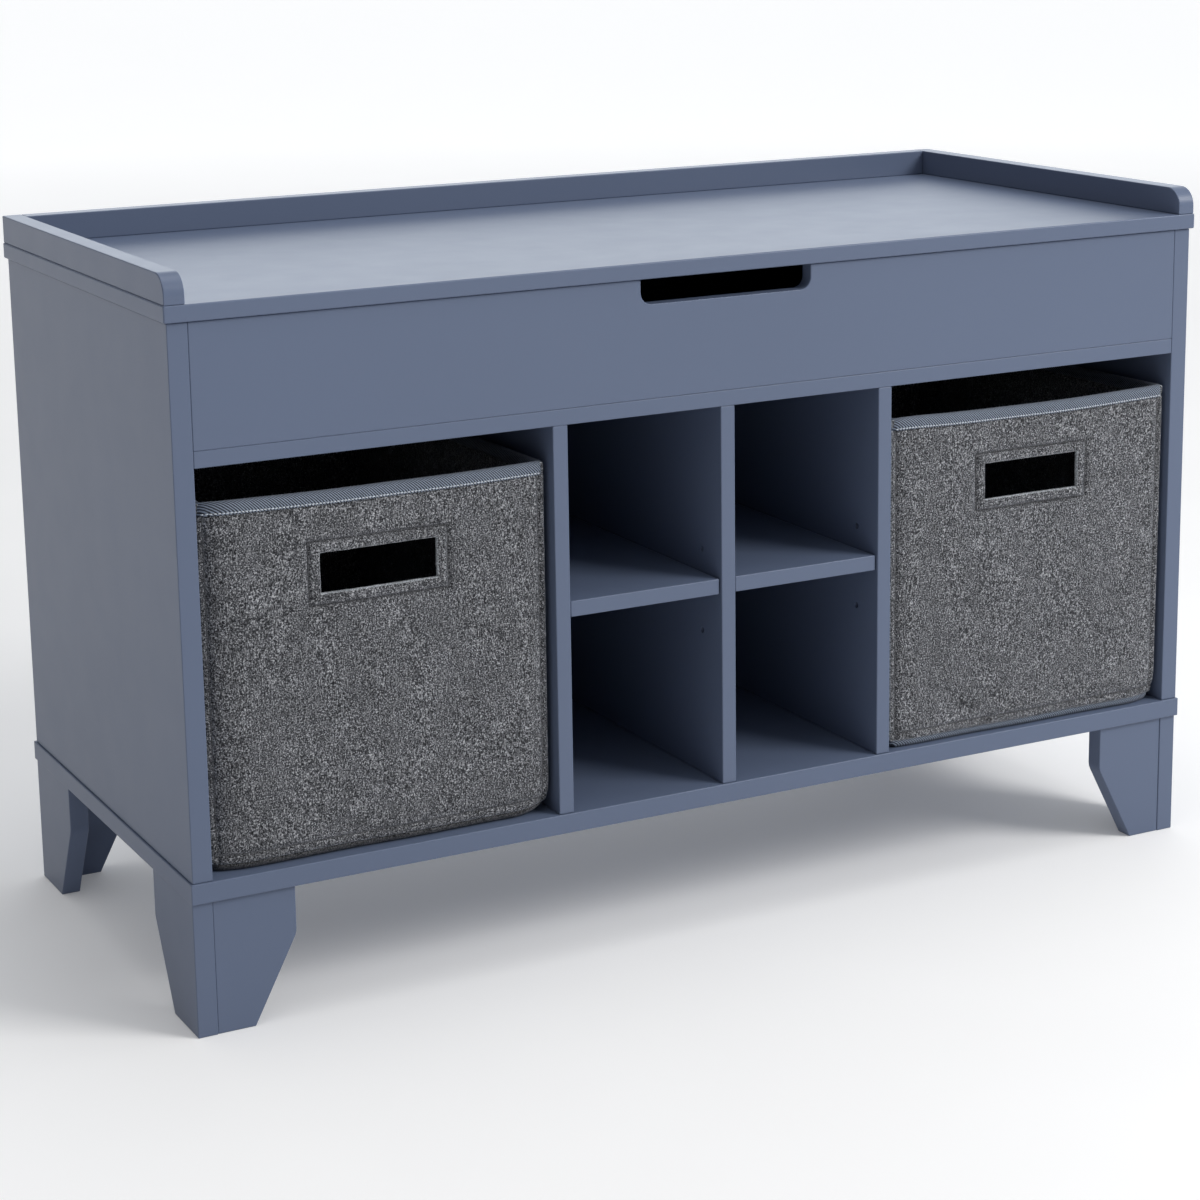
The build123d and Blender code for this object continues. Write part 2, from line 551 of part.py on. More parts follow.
with BuildPart() as back_rail:
    board((-RAIL_IN, RAIL_IN), (LID_BACK - THICK, LID_BACK), (LID_TOP, RAIL_TOP))
    sink([p for p in rail_screw_points if abs(p[0]) < RAIL_IN], UP, RAIL_SCREW, SCREW_CLEARANCE)
    sink([p for p in leaf_screw_points["lid"] if p[2] > LID_TOP], TO_FRONT, HARDWARE_SCREW, SCREW_CLEARANCE)
save("lid_back_rail", back_rail)

# ---------------------------------------------------------------- hinges

for name, side in SIDES.items():
    for leaf_name, swing, own in (("fixed", -1, (0, 2, 4)), ("lid", 1, (1, 3))):
        with BuildPart() as leaf:
            near = AXIS_Z + swing * (KNUCKLE_RADIUS + KNUCKLE_GAP)
            far = AXIS_Z + swing * LEAF_WIDTH
            plate_y = (LID_BACK, LID_BACK + LEAF_THICK)
            leaf_x = (side * HINGE_X - LEAF_LENGTH / 2, side * HINGE_X + LEAF_LENGTH / 2)
            board(leaf_x, plate_y, (near, far), arris=0)
            corners = leaf.edges().filter_by(Axis.Y).sort_by(Axis.Z)
            fillet(corners[:2] if swing < 0 else corners[-2:], LEAF_CORNER)
            for index in own:
                first = side * HINGE_X - LEAF_LENGTH / 2 + index * KNUCKLE_LENGTH + KNUCKLE_GAP / 2
                span = (first, first + KNUCKLE_LENGTH - KNUCKLE_GAP)
                board(span, plate_y, (AXIS_Z, near), arris=0)
                rod([(span[0], AXIS_Y, AXIS_Z)], TO_RIGHT, KNUCKLE_RADIUS, KNUCKLE_LENGTH - KNUCKLE_GAP)
            pin_start = (side * HINGE_X - LEAF_LENGTH / 2, AXIS_Y, AXIS_Z)
            drill([pin_start], TO_RIGHT, PIN_RADIUS + PIN_CLEARANCE, LEAF_LENGTH)
            screws = [p for p in leaf_screw_points[leaf_name] if p[0] * side > 0]
            sink(screws, TO_FRONT, HARDWARE_SCREW, SCREW_CLEARANCE)
        save(f"{name}_hinge_{leaf_name}_leaf", leaf)

with BuildPart() as hinge_pins:
    for side in SIDES.values():
        end_x = side * HINGE_X - LEAF_LENGTH / 2
        rod([(end_x, AXIS_Y, AXIS_Z)], TO_RIGHT, PIN_RADIUS, LEAF_LENGTH)
        rod([(end_x, AXIS_Y, AXIS_Z)], TO_LEFT, PIN_HEAD_RADIUS, PIN_HEAD_THICK)
        rod([(end_x + LEAF_LENGTH, AXIS_Y, AXIS_Z)], TO_RIGHT, PIN_HEAD_RADIUS, PIN_HEAD_THICK)
save("hinge_pins", hinge_pins)

# ---------------------------------------------------------------- lid stays

with BuildPart() as side_brackets:
    for side in SIDES.values():
        pivot_y, pivot_z = side_pivot
        plate = (
            (side * (SIDE_IN - BRACKET_THICK), side * SIDE_IN),
            (pivot_y - SIDE_BRACKET[0] / 2, pivot_y + SIDE_BRACKET[0] / 2),
            (pivot_z - SIDE_BRACKET[1] / 2, pivot_z + SIDE_BRACKET[1] / 2),
        )
        board(*plate, arris=0)
        face = side * (SIDE_IN - BRACKET_THICK)
        head = side * (LOWER_ARM_OUT - ARM_THICK - HEAD_GAP)
        rod([(face, pivot_y, pivot_z)], (-side, 0, 0), STUD_RADIUS, abs(face - head))
        rod([(head, pivot_y, pivot_z)], (-side, 0, 0), STUD_HEAD_RADIUS, STUD_HEAD_THICK)
    fillet(side_brackets.edges().filter_by(Axis.X).filter_by(GeomType.LINE), BRACKET_CORNER)
    for side in SIDES.values():
        screws = [p for p in side_bracket_screws if p[0] * side > 0]
        sink(screws, (side, 0, 0), HARDWARE_SCREW, SCREW_CLEARANCE)
save("stay_side_brackets", side_brackets)

with BuildPart() as lid_brackets:
    for side in SIDES.values():
        pivot_y, pivot_z = lid_pivot
        tab = side * LID_TAB_IN
        tab_out = side * (LID_TAB_IN + BRACKET_THICK)
        flange_y = (pivot_y - LID_FLANGE[1] / 2, pivot_y + LID_FLANGE[1] / 2)
        tab_y = (pivot_y - ARM_WIDTH / 2, pivot_y + ARM_WIDTH / 2)
        board((tab_out - side * LID_FLANGE[0], tab_out), flange_y, (flange_z, LID_UNDER), arris=0)
        board((tab, tab_out), tab_y, (pivot_z, LID_UNDER), arris=0)
        rod([(tab, pivot_y, pivot_z)], (side, 0, 0), ARM_WIDTH / 2, BRACKET_THICK)
        head = side * (UPPER_ARM_OUT - ARM_THICK - HEAD_GAP)
        rod([(tab, pivot_y, pivot_z)], (-side, 0, 0), STUD_RADIUS, abs(tab - head))
        rod([(head, pivot_y, pivot_z)], (-side, 0, 0), STUD_HEAD_RADIUS, STUD_HEAD_THICK)
    sink(lid_flange_screws, UP, HARDWARE_SCREW, SCREW_CLEARANCE)
save("stay_lid_brackets", lid_brackets)

STAY_ARMS = {
    "lower": (side_pivot, LOWER_ARM_OUT),
    "upper": (lid_pivot, UPPER_ARM_OUT),
}
for name, side in SIDES.items():
    for arm_name, ((start_y, start_z), outside) in STAY_ARMS.items():
        length = hypot(elbow[0] - start_y, elbow[1] - start_z)
        along = (0, elbow[0] - start_y, elbow[1] - start_z)
        arm_plane = Plane(origin=(side * outside, start_y, start_z), x_dir=along, z_dir=(-side, 0, 0))
        with BuildPart() as arm:
            with BuildSketch(arm_plane):
                with Locations((length / 2, 0)):
                    SlotCenterToCenter(length, ARM_WIDTH)
                with Locations((0, 0)):
                    Circle(STUD_RADIUS + STUD_CLEARANCE, mode=Mode.SUBTRACT)
                if arm_name == "upper":
                    with Locations((length, 0)):
                        Circle(STUD_RADIUS + STUD_CLEARANCE, mode=Mode.SUBTRACT)
            extrude(amount=ARM_THICK)
            if arm_name == "lower":
                inner = side * (LOWER_ARM_OUT - ARM_THICK)
                head = side * (UPPER_ARM_OUT - ARM_THICK - HEAD_GAP)
                rod([(inner, *elbow)], (-side, 0, 0), STUD_RADIUS, abs(inner - head))
                rod([(head, *elbow)], (-side, 0, 0), STUD_HEAD_RADIUS, STUD_HEAD_THICK)
        save(f"{name}_stay_{arm_name}_arm", arm)

# ---------------------------------------------------------------- felt baskets

for name, side in SIDES.items():
    left = side * BASKET_X - BASKET_WIDTH / 2
    right = side * BASKET_X + BASKET_WIDTH / 2
    front = BASKET_FRONTS[name]
    back = front + BASKET_DEPTH
    foot = BASE_TOP + BASKET_LIFT
    top = foot + BASKET_HEIGHT
    wall_x = (left + BINDING_THICK, right - BINDING_THICK)
    wall_y = (front + BINDING_THICK, back - BINDING_THICK)
    wall_z = (foot, top - BINDING_THICK)
    inner_x = (wall_x[0] + FELT, wall_x[1] - FELT)
    inner_y = (wall_y[0] + FELT, wall_y[1] - FELT)

    with BuildPart() as basket_front:
        board(wall_x, (wall_y[0], inner_y[0]), wall_z, arris=FELT_ARRIS)
        with BuildSketch(Plane.XZ.offset(-wall_y[0])):
            with Locations((side * BASKET_X, foot + HANDLE_MIDDLE)):
                RectangleRounded(HANDLE_WIDTH, HANDLE_HEIGHT, HANDLE_CORNER)
        extrude(amount=-FELT, mode=Mode.SUBTRACT)
    save(f"{name}_basket_front_panel", basket_front)

    with BuildPart() as basket_back:
        board(wall_x, (inner_y[1], wall_y[1]), wall_z, arris=FELT_ARRIS)
    save(f"{name}_basket_back_panel", basket_back)

    with BuildPart() as basket_sides:
        board((wall_x[0], inner_x[0]), inner_y, wall_z, arris=0)
        board((inner_x[1], wall_x[1]), inner_y, wall_z, arris=0)
    save(f"{name}_basket_side_panels", basket_sides)

    with BuildPart() as basket_bottom:
        board(inner_x, inner_y, (foot, foot + FELT), arris=0)
    save(f"{name}_basket_bottom", basket_bottom)

    with BuildPart() as stiffener:
        board(
            (inner_x[0] + STIFFENER_GAP, inner_x[1] - STIFFENER_GAP),
            (inner_y[0] + STIFFENER_GAP, inner_y[1] - STIFFENER_GAP),
            (foot + FELT, foot + FELT + STIFFENER_THICK),
        )
    save(f"{name}_basket_base_board", stiffener)

    with BuildPart() as binding:
        band = (top - BINDING_DROP, top)
        board((left, right), (front, back), band, arris=BINDING_THICK / 2)
        with Locations(((left + right) / 2, (front + back) / 2, top)):
            Box(
                inner_x[1] - inner_x[0] - 2 * BINDING_THICK,
                inner_y[1] - inner_y[0] - 2 * BINDING_THICK,
                2 * BINDING_DROP,
                mode=Mode.SUBTRACT,
            )
        channel_top = top - BINDING_THICK
        channel = (channel_top - BINDING_DROP, channel_top)
        for x_span, y_span in (
            (wall_x, (wall_y[0], inner_y[0])),
            (wall_x, (inner_y[1], wall_y[1])),
            ((wall_x[0], inner_x[0]), wall_y),
            ((inner_x[1], wall_x[1]), wall_y),
        ):
            with Locations((sum(x_span) / 2, sum(y_span) / 2, sum(channel) / 2)):
                Box(x_span[1] - x_span[0], y_span[1] - y_span[0], BINDING_DROP, mode=Mode.SUBTRACT)
    save(f"{name}_basket_rim_binding", binding)

# ---------------------------------------------------------------- fasteners

with BuildPart() as dowels:
    rod(side_dowel_points + front_dowel_points + leg_dowel_points, UP, DOWEL_RADIUS, DOWEL_LENGTH)
    rod(partition_dowel_points, DOWN, DOWEL_RADIUS, DOWEL_LENGTH)
    for side in SIDES.values():
        rod([p for p in deck_dowel_points if p[0] * side > 0], (-side, 0, 0), DOWEL_RADIUS, DOWEL_LENGTH)
save("dowels", dowels)

with BuildPart() as cam_locks:
    for points, into in cam_groups:
        rod(points, into, CAM_RADIUS, CAM_DEPTH)
        cross_slot(points, into, CAM_RECESS)
    for side in SIDES.values():
        ends = [(x, y, z) for x, y, z in cam_bolt_ends if x * side > 0]
        drill(ends, (-side, 0, 0), CAM_BOLT_RADIUS + SCREW_CLEARANCE, CAM_SETBACK)
save("cam_locks", cam_locks)

with BuildPart() as cam_bolts:
    for side in SIDES.values():
        starts = [(x + side * CAM_BOLT_SINK, y, z) for x, y, z in cam_bolt_ends if x * side > 0]
        rod(starts, (-side, 0, 0), CAM_BOLT_RADIUS, CAM_BOLT_SINK + CAM_SETBACK)
save("cam_bolts", cam_bolts)

with BuildPart() as base_screws:
    sink(base_screw_points, UP, BASE_SCREW, mode=Mode.ADD)
    cross_slot(base_screw_points, UP, BASE_RECESS)
save("base_screws", base_screws)

with BuildPart() as lid_rail_screws:
    sink(rail_screw_points, UP, RAIL_SCREW, mode=Mode.ADD)
    cross_slot(rail_screw_points, UP, RAIL_RECESS)
save("lid_rail_screws", lid_rail_screws)

with BuildPart() as leg_screws:
    sink(leg_bolt_points, DOWN, LEG_BOLT, mode=Mode.ADD)
    cross_slot(leg_bolt_points, DOWN, BOLT_RECESS)
    for screws, into in block_screws:
        sink(screws, into, BLOCK_SCREW, mode=Mode.ADD)
        cross_slot(screws, into, BLOCK_RECESS)
save("leg_screws", leg_screws)

with BuildPart() as carcass_hardware_screws:
    sink(leaf_screw_points["fixed"], TO_FRONT, HARDWARE_SCREW, mode=Mode.ADD)
    cross_slot(leaf_screw_points["fixed"], TO_FRONT, HARDWARE_RECESS)
    for side in SIDES.values():
        screws = [p for p in side_bracket_screws if p[0] * side > 0]
        sink(screws, (side, 0, 0), HARDWARE_SCREW, mode=Mode.ADD)
        cross_slot(screws, (side, 0, 0), HARDWARE_RECESS)
save("carcass_hardware_screws", carcass_hardware_screws)

with BuildPart() as lid_hardware_screws:
    sink(leaf_screw_points["lid"], TO_FRONT, HARDWARE_SCREW, mode=Mode.ADD)
    cross_slot(leaf_screw_points["lid"], TO_FRONT, HARDWARE_RECESS)
    sink(lid_flange_screws, UP, HARDWARE_SCREW, mode=Mode.ADD)
    cross_slot(lid_flange_screws, UP, HARDWARE_RECESS)
save("lid_hardware_screws", lid_hardware_screws)

with BuildPart() as back_panel_screws:
    rod(back_screw_points, TO_FRONT, BACK_SCREW_SHANK, BACK_SCREW_LENGTH)
    rod(back_screw_points, TO_BACK, BACK_SCREW_HEAD, BACK_SCREW_DOME)
    cross_slot([(x, y + BACK_SCREW_DOME, z) for x, y, z in back_screw_points], TO_FRONT, BACK_RECESS)
save("back_panel_screws", back_panel_screws)
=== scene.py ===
"""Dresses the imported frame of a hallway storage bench: satin-painted boards, felt baskets, zinc hardware.

Everything is in metres in the frame's own coordinates: +X to the right, +Y to the back, +Z up.
"""

import json
import logging
import math
from dataclasses import dataclass, field
from enum import Enum
from random import Random
from typing import Callable, Iterable, Sequence

import bmesh
import bpy
import numpy as np
from mathutils import Matrix, Vector, noise

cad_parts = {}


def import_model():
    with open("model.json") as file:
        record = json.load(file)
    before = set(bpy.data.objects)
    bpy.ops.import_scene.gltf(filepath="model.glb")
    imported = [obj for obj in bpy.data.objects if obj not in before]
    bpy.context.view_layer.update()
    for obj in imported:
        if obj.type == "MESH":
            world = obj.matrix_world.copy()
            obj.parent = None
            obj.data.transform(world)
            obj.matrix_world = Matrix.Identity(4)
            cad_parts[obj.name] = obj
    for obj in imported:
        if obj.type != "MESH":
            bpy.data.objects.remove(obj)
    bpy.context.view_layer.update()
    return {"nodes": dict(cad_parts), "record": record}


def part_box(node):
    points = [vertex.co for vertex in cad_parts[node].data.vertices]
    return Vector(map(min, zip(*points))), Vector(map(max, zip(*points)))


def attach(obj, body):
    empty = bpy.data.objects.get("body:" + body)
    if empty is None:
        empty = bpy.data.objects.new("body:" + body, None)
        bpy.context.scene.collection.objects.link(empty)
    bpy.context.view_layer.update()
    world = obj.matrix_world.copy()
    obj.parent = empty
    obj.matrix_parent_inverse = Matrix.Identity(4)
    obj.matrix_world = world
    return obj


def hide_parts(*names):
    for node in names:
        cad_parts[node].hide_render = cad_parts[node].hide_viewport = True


LOG = logging.getLogger("bench")
MM = 0.001
Colour = tuple[float, float, float]
Placement = Callable[[np.ndarray], np.ndarray]
Socket = bpy.types.NodeSocket
WHITE = (1.0, 1.0, 1.0)
BLACK = (0.0, 0.0, 0.0)


def scaled(colour: Colour, factor: float) -> Colour:
    """A colour made darker or lighter.

    Args:
        colour: The colour.
        factor: What every channel is multiplied by.

    Returns:
        The new colour.
    """
    return tuple(channel * factor for channel in colour)


def grey(level: float) -> Colour:
    """A neutral colour of one level."""
    return (level, level, level)


class Side(Enum):
    """The bench's two sides, as the frame names them."""

    LEFT = "left"
    RIGHT = "right"


class Panel(Enum):
    """The four upright walls of a basket."""

    FRONT = "front"
    BACK = "back"
    LEFT = "left"
    RIGHT = "right"


# ---------------------------------------------------------------- finishes


class Nodes:
    """A node tree built a node at a time."""

    def __init__(self, tree: bpy.types.NodeTree) -> None:
        """Keeps the tree."""
        self.tree = tree

    def add(self, kind: str, inputs: dict | None = None, **settings: object) -> bpy.types.Node:
        """Adds a node.

        Args:
            kind: The node's type name after ShaderNode.
            inputs: Socket name or index to a number, a colour or another node's output socket.
            **settings: The node's own properties.

        Returns:
            The new node.
        """
        node = self.tree.nodes.new("ShaderNode" + kind)
        for name, value in settings.items():
            setattr(node, name, value)
        for name, value in (inputs or {}).items():
            self.feed(node.inputs[name], value)
        return node

    def feed(self, socket: Socket, value: object) -> None:
        """Links a socket to another, or gives it a fixed value.

        Args:
            socket: The input socket.
            value: An output socket, a number or a colour.
        """
        if isinstance(value, Socket):
            self.tree.links.new(value, socket)
        else:
            socket.default_value = value

    def place(self, scale: Sequence[float] = (1, 1, 1), turn: Sequence[float] = (0, 0, 0)) -> Socket:
        """Object coordinates in metres, turned and then scaled.

        Args:
            scale: The scale along X, Y and Z.
            turn: The rotation about X, Y and Z, in radians.

        Returns:
            The vector socket.
        """
        source = self.add("TexCoord").outputs["Object"]
        return self.add("Mapping", {"Vector": source, "Scale": scale, "Rotation": turn}).outputs[0]

    def grain(
        self, scale: float, detail: float = 2.0, rough: float = 0.5, at: Socket | None = None
    ) -> Socket:
        """A noise value.

        Args:
            scale: Its frequency per metre.
            detail: Its number of octaves.
            rough: How strong the finer octaves are.
            at: The vector socket that it reads, or None for object coordinates.

        Returns:
            The value socket, from 0 to 1 about 0.5.
        """
        where = self.place() if at is None else at
        fields = {"Vector": where, "Scale": scale, "Detail": detail, "Roughness": rough}
        return self.add("TexNoise", fields).outputs[0]

    def ramp(self, value: object, stops: Sequence[tuple[float, Colour]]) -> Socket:
        """A colour ramp.

        Args:
            value: The value socket that it reads.
            stops: Place and colour of each stop, in order.

        Returns:
            The colour socket.
        """
        node = self.add("ValToRGB", {0: value})
        elements = node.color_ramp.elements
        while len(elements) < len(stops):
            elements.new(0.5)
        for element, (place, colour) in zip(elements, stops):
            element.position = place
            element.color = (*colour, 1.0)
        return node.outputs[0]

    def spread(self, value: object, low: float, high: float) -> Socket:
        """Maps a noise value's usual range, 0.3 to 0.7, onto low to high."""
        fields = {"Value": value, "From Min": 0.3, "From Max": 0.7, "To Min": low, "To Max": high}
        return self.add("MapRange", fields).outputs[0]

    def blend(self, share: object, a: object, b: object, mode: str = "MIX") -> Socket:
        """Mixes two colours.

        Args:
            share: How much of the second colour, a number or a socket.
            a: The first colour, a colour or a socket.
            b: The second colour, a colour or a socket.
            mode: The blend type.

        Returns:
            The colour socket.
        """
        node = self.add("Mix", data_type="RGBA", blend_type=mode)
        self.feed(node.inputs[0], share)
        self.feed(node.inputs[6], a if isinstance(a, Socket) else (*a, 1.0))
        self.feed(node.inputs[7], b if isinstance(b, Socket) else (*b, 1.0))
        return node.outputs[2]

    def maths(self, operation: str, a: object, b: object = 0.0) -> Socket:
        """A two-value maths node."""
        return self.add("Math", {0: a, 1: b}, operation=operation).outputs[0]


class Graph(Nodes):
    """A material's node tree with one principled shader."""

    def __init__(self, name: str) -> None:
        """Starts an empty material.

        Args:
            name: The material's name.
        """
        self.material = bpy.data.materials.new(name)
        self.material.use_nodes = True
        super().__init__(self.material.node_tree)
        self.tree.nodes.clear()
        output = self.tree.nodes.new("ShaderNodeOutputMaterial")
        self.shader = self.tree.nodes.new("ShaderNodeBsdfPrincipled")
        self.tree.links.new(self.shader.outputs[0], output.inputs[0])

    def set(self, **values: object) -> None:
        """Sets the shader's own sockets, with underscores for spaces in their names."""
        for name, value in values.items():
            self.shader.inputs[name.replace("_", " ")].default_value = value

    def tint(self, value: object) -> None:
        """Feeds the shader's base colour."""
        self.feed(self.shader.inputs["Base Color"], value)

    def bump(self, layers: Iterable[tuple[object, float]]) -> None:
        """Raises the surface.

        Args:
            layers: Height socket and its depth in metres, for each layer.
        """
        normal = None
        for height, depth in layers:
            fields = {"Height": height, "Distance": depth, "Strength": 1.0}
            if normal is not None:
                fields["Normal"] = normal
            normal = self.add("Bump", fields).outputs[0]
        self.feed(self.shader.inputs["Normal"], normal)


@dataclass(frozen=True)
class SatinPaint:
    """Sprayed satin paint on smooth board: an even blue-grey with a faint orange peel."""

    name: str = "satin_paint"
    colour: Colour = (0.108, 0.138, 0.212)
    roughness: float = 0.34
    gloss: float = 0.27
    peel_depth: float = 0.000012

    def make(self) -> bpy.types.Material:
        """Builds the finish.

        Returns:
            The material.
        """
        g = Graph(self.name)
        light = scaled(self.colour, 1.025)
        colour = g.blend(g.spread(g.grain(2.5, 3), 0, 1), scaled(self.colour, 0.975), light)
        speck = g.spread(g.grain(2600, 2), -0.6, 1.0)
        g.tint(g.blend(g.maths("MULTIPLY", speck, 0.05), colour, light))
        sheen = g.spread(g.grain(30, 4), self.roughness - 0.015, self.roughness + 0.015)
        g.feed(g.shader.inputs["Roughness"], sheen)
        g.bump([(g.grain(420, 2), self.peel_depth), (g.grain(2200, 1), self.peel_depth * 0.3)])
        g.set(Specular_IOR_Level=self.gloss)
        return g.material


@dataclass(frozen=True)
class PressedFelt:
    """Needle-punched grey felt: light and dark fibres pressed together."""

    name: str = "pressed_felt"
    dark: Colour = (0.008, 0.008, 0.009)
    middle: Colour = (0.060, 0.062, 0.068)
    light: Colour = (0.46, 0.47, 0.49)
    clump_scale: float = 900.0
    clump_depth: float = 0.9 * MM
    fibre_scale: tuple[float, float, float] = (1100.0, 1100.0, 200.0)
    fibre_depth: float = 0.15 * MM
    fibre_turns: tuple[float, ...] = (0.4, 1.5, 2.5)
    fibre_share: float = 0.42

    def make(self) -> bpy.types.Material:
        """Builds the finish.

        Returns:
            The material.
        """
        g = Graph(self.name)
        clump = g.grain(self.clump_scale, 4, 0.6)
        lighter = scaled(self.middle, 2.2)
        body = g.ramp(clump, [(0.39, self.dark), (0.49, self.middle), (0.56, lighter), (0.64, self.light)])
        fibres = None
        for turn in self.fibre_turns:
            at = g.place(self.fibre_scale, (turn, turn * 0.7, turn * 1.3))
            strand = g.ramp(g.grain(1.0, 2, 0.5, at), [(0.62, BLACK), (0.70, WHITE)])
            fibres = strand if fibres is None else g.blend(1.0, fibres, strand, "LIGHTEN")
        colour = g.blend(g.maths("MULTIPLY", fibres, self.fibre_share), body, scaled(self.light, 1.05))
        cloud = g.ramp(g.grain(95, 3), [(0.3, grey(0.80)), (0.7, (1.16, 1.16, 1.17))])
        g.tint(g.blend(1.0, colour, cloud, "MULTIPLY"))
        g.bump([(clump, self.clump_depth), (fibres, self.fibre_depth)])
        g.set(Roughness=0.95, Specular_IOR_Level=0.15, Sheen_Weight=0.25, Sheen_Roughness=0.45)
        g.set(Sheen_Tint=(0.80, 0.86, 1.0, 1.0))
        return g.material


@dataclass(frozen=True)
class TwillTape:
    """Woven binding tape whose ribs run slantwise, with painted shade in the valleys between them."""

    name: str = "twill_tape"
    rib: Colour = (0.21, 0.25, 0.32)
    # near-black colour of the valleys between the ribs: painted shade
    valley_shade: Colour = (0.018, 0.022, 0.032)
    pitch: float = 2.2 * MM
    rib_depth: float = 0.22 * MM
    yarn_depth: float = 0.08 * MM

    def make(self) -> bpy.types.Material:
        """Builds the finish.

        Returns:
            The material.
        """
        g = Graph(self.name)
        scale = 2 * math.pi / (10 * self.pitch)
        fields = {"Vector": g.place(), "Scale": scale, "Distortion": 0.6}
        fields |= {"Detail": 1.0, "Detail Scale": 2.0}
        ribs = g.add("TexWave", fields, bands_direction="DIAGONAL").outputs[1]
        yarn = g.grain(1400, 2)
        # The valleys between the ribs are near-black: painted shade in the weave's hollows.
        colour = g.ramp(ribs, [(0.25, self.valley_shade), (0.75, self.rib)])
        tone = g.ramp(yarn, [(0.3, grey(0.82)), (0.7, grey(1.15))])
        g.tint(g.blend(1.0, colour, tone, "MULTIPLY"))
        g.bump([(ribs, self.rib_depth), (yarn, self.yarn_depth)])
        g.set(Roughness=0.75, Specular_IOR_Level=0.3, Sheen_Weight=0.2, Sheen_Roughness=0.4)
        return g.material


@dataclass(frozen=True)
class SewingThread:
    """Twisted polyester thread."""

    name: str = "sewing_thread"
    colour: Colour = (0.70, 0.75, 0.82)

    def make(self) -> bpy.types.Material:
        """Builds the finish.

        Returns:
            The material.
        """
        g = Graph(self.name)
        twist = g.grain(2600, 1)
        g.tint(g.ramp(twist, [(0.4, scaled(self.colour, 0.65)), (0.6, self.colour)]))
        g.bump([(twist, 0.08 * MM)])
        g.set(Roughness=0.6, Sheen_Weight=0.2)
        return g.material


@dataclass(frozen=True)
class ZincPlate:
    """Zinc-plated steel with the faint haze of the bath."""

    name: str = "zinc_plate"
    colour: Colour = (0.60, 0.61, 0.61)
    roughness: float = 0.34

    def make(self) -> bpy.types.Material:
        """Builds the finish.

        Returns:
            The material.
        """
        g = Graph(self.name)
        haze = g.grain(260, 4, 0.6)
        g.tint(g.ramp(haze, [(0.35, scaled(self.colour, 0.82)), (0.65, self.colour)]))
        sheen = g.spread(g.grain(900, 3), self.roughness - 0.08, self.roughness + 0.1)
        g.feed(g.shader.inputs["Roughness"], sheen)
        g.bump([(g.grain(1800, 2), 0.02 * MM)])
        g.set(Metallic=1.0)
        return g.material


@dataclass(frozen=True)
class Beech:
    """Bare beech with short brown flecks along its grain."""

    name: str = "beech"
    pale: Colour = (0.62, 0.44, 0.26)
    brown: Colour = (0.40, 0.25, 0.13)
    fleck: Colour = (0.72, 0.66, 0.60)

    def make(self) -> bpy.types.Material:
        """Builds the finish.

        Returns:
            The material.
        """
        g = Graph(self.name)
        lines = g.grain(1.0, 4, 0.6, g.place((260, 260, 18)))
        flecks = g.grain(1.0, 2, 0.5, g.place((1500, 1500, 220)))
        grain = g.ramp(lines, [(0.35, self.brown), (0.6, self.pale)])
        dark = g.ramp(flecks, [(0.30, self.fleck), (0.42, WHITE)])
        g.tint(g.blend(1.0, grain, dark, "MULTIPLY"))
        g.bump([(lines, 0.2 * MM), (flecks, 0.1 * MM)])
        g.set(Roughness=0.62)
        return g.material


@dataclass(frozen=True)
class GreyBoard:
    """Recycled grey board with stray paper fibres."""

    name: str = "grey_board"
    colour: Colour = (0.17, 0.165, 0.155)

    def make(self) -> bpy.types.Material:
        """Builds the finish.

        Returns:
            The material.
        """
        g = Graph(self.name)
        pulp = g.grain(340, 5, 0.7)
        g.tint(g.ramp(pulp, [(0.35, scaled(self.colour, 0.72)), (0.66, scaled(self.colour, 1.3))]))
        g.bump([(pulp, 0.2 * MM)])
        g.set(Roughness=0.9)
        return g.material


@dataclass(frozen=True)
class StudioFloor:
    """A plain pale studio floor that glows more strongly further out, up to the horizon."""

    name: str = "studio_floor"
    colour: Colour = (0.80, 0.80, 0.805)
    glow: float = 0.12
    far_glow: float = 0.50
    glow_rise: tuple[float, float] = (1.2, 6.0)

    def make(self) -> bpy.types.Material:
        """Builds the finish.

        Returns:
            The material.
        """
        g = Graph(self.name)
        g.tint(g.ramp(g.grain(3, 3), [(0.4, scaled(self.colour, 0.985)), (0.6, self.colour)]))
        g.set(Roughness=0.85, Specular_IOR_Level=0.2, Emission_Color=(*WHITE, 1.0))
        away = g.add("VectorMath", {"Vector": g.place()}, operation="LENGTH").outputs["Value"]
        near, far = self.glow_rise
        fields = {"Value": away, "From Min": near, "From Max": far}
        fields |= {"To Min": self.glow, "To Max": self.far_glow}
        g.feed(g.shader.inputs["Emission Strength"], g.add("MapRange", fields).outputs[0])
        return g.material


# ---------------------------------------------------------------- mesh helpers


def face_outward(work: bmesh.types.BMesh) -> None:
    """Turns every face of a closed shape outward.

    Args:
        work: The shape.
    """
    bmesh.ops.recalc_face_normals(work, faces=work.faces)
    if work.calc_volume(signed=True) < 0:
        bmesh.ops.reverse_faces(work, faces=work.faces)


def new_piece(name: str, points: np.ndarray, faces: list, material: bpy.types.Material) -> bpy.types.Object:
    """Makes a smooth-shaded object from points and faces.

    Args:
        name: The piece's name.
        points: Its vertices, one row each.
        faces: Lists of vertex numbers.
        material: Its finish.

    Returns:
        The object, linked to the scene.
    """
    mesh = bpy.data.meshes.new(name)
    mesh.from_pydata([tuple(p) for p in points], [], faces)
    work = bmesh.new()
    work.from_mesh(mesh)
    face_outward(work)
    work.to_mesh(mesh)
    work.free()
    mesh.shade_smooth()
    mesh.materials.append(material)
    piece = bpy.data.objects.new(name, mesh)
    bpy.context.scene.collection.objects.link(piece)
    return piece


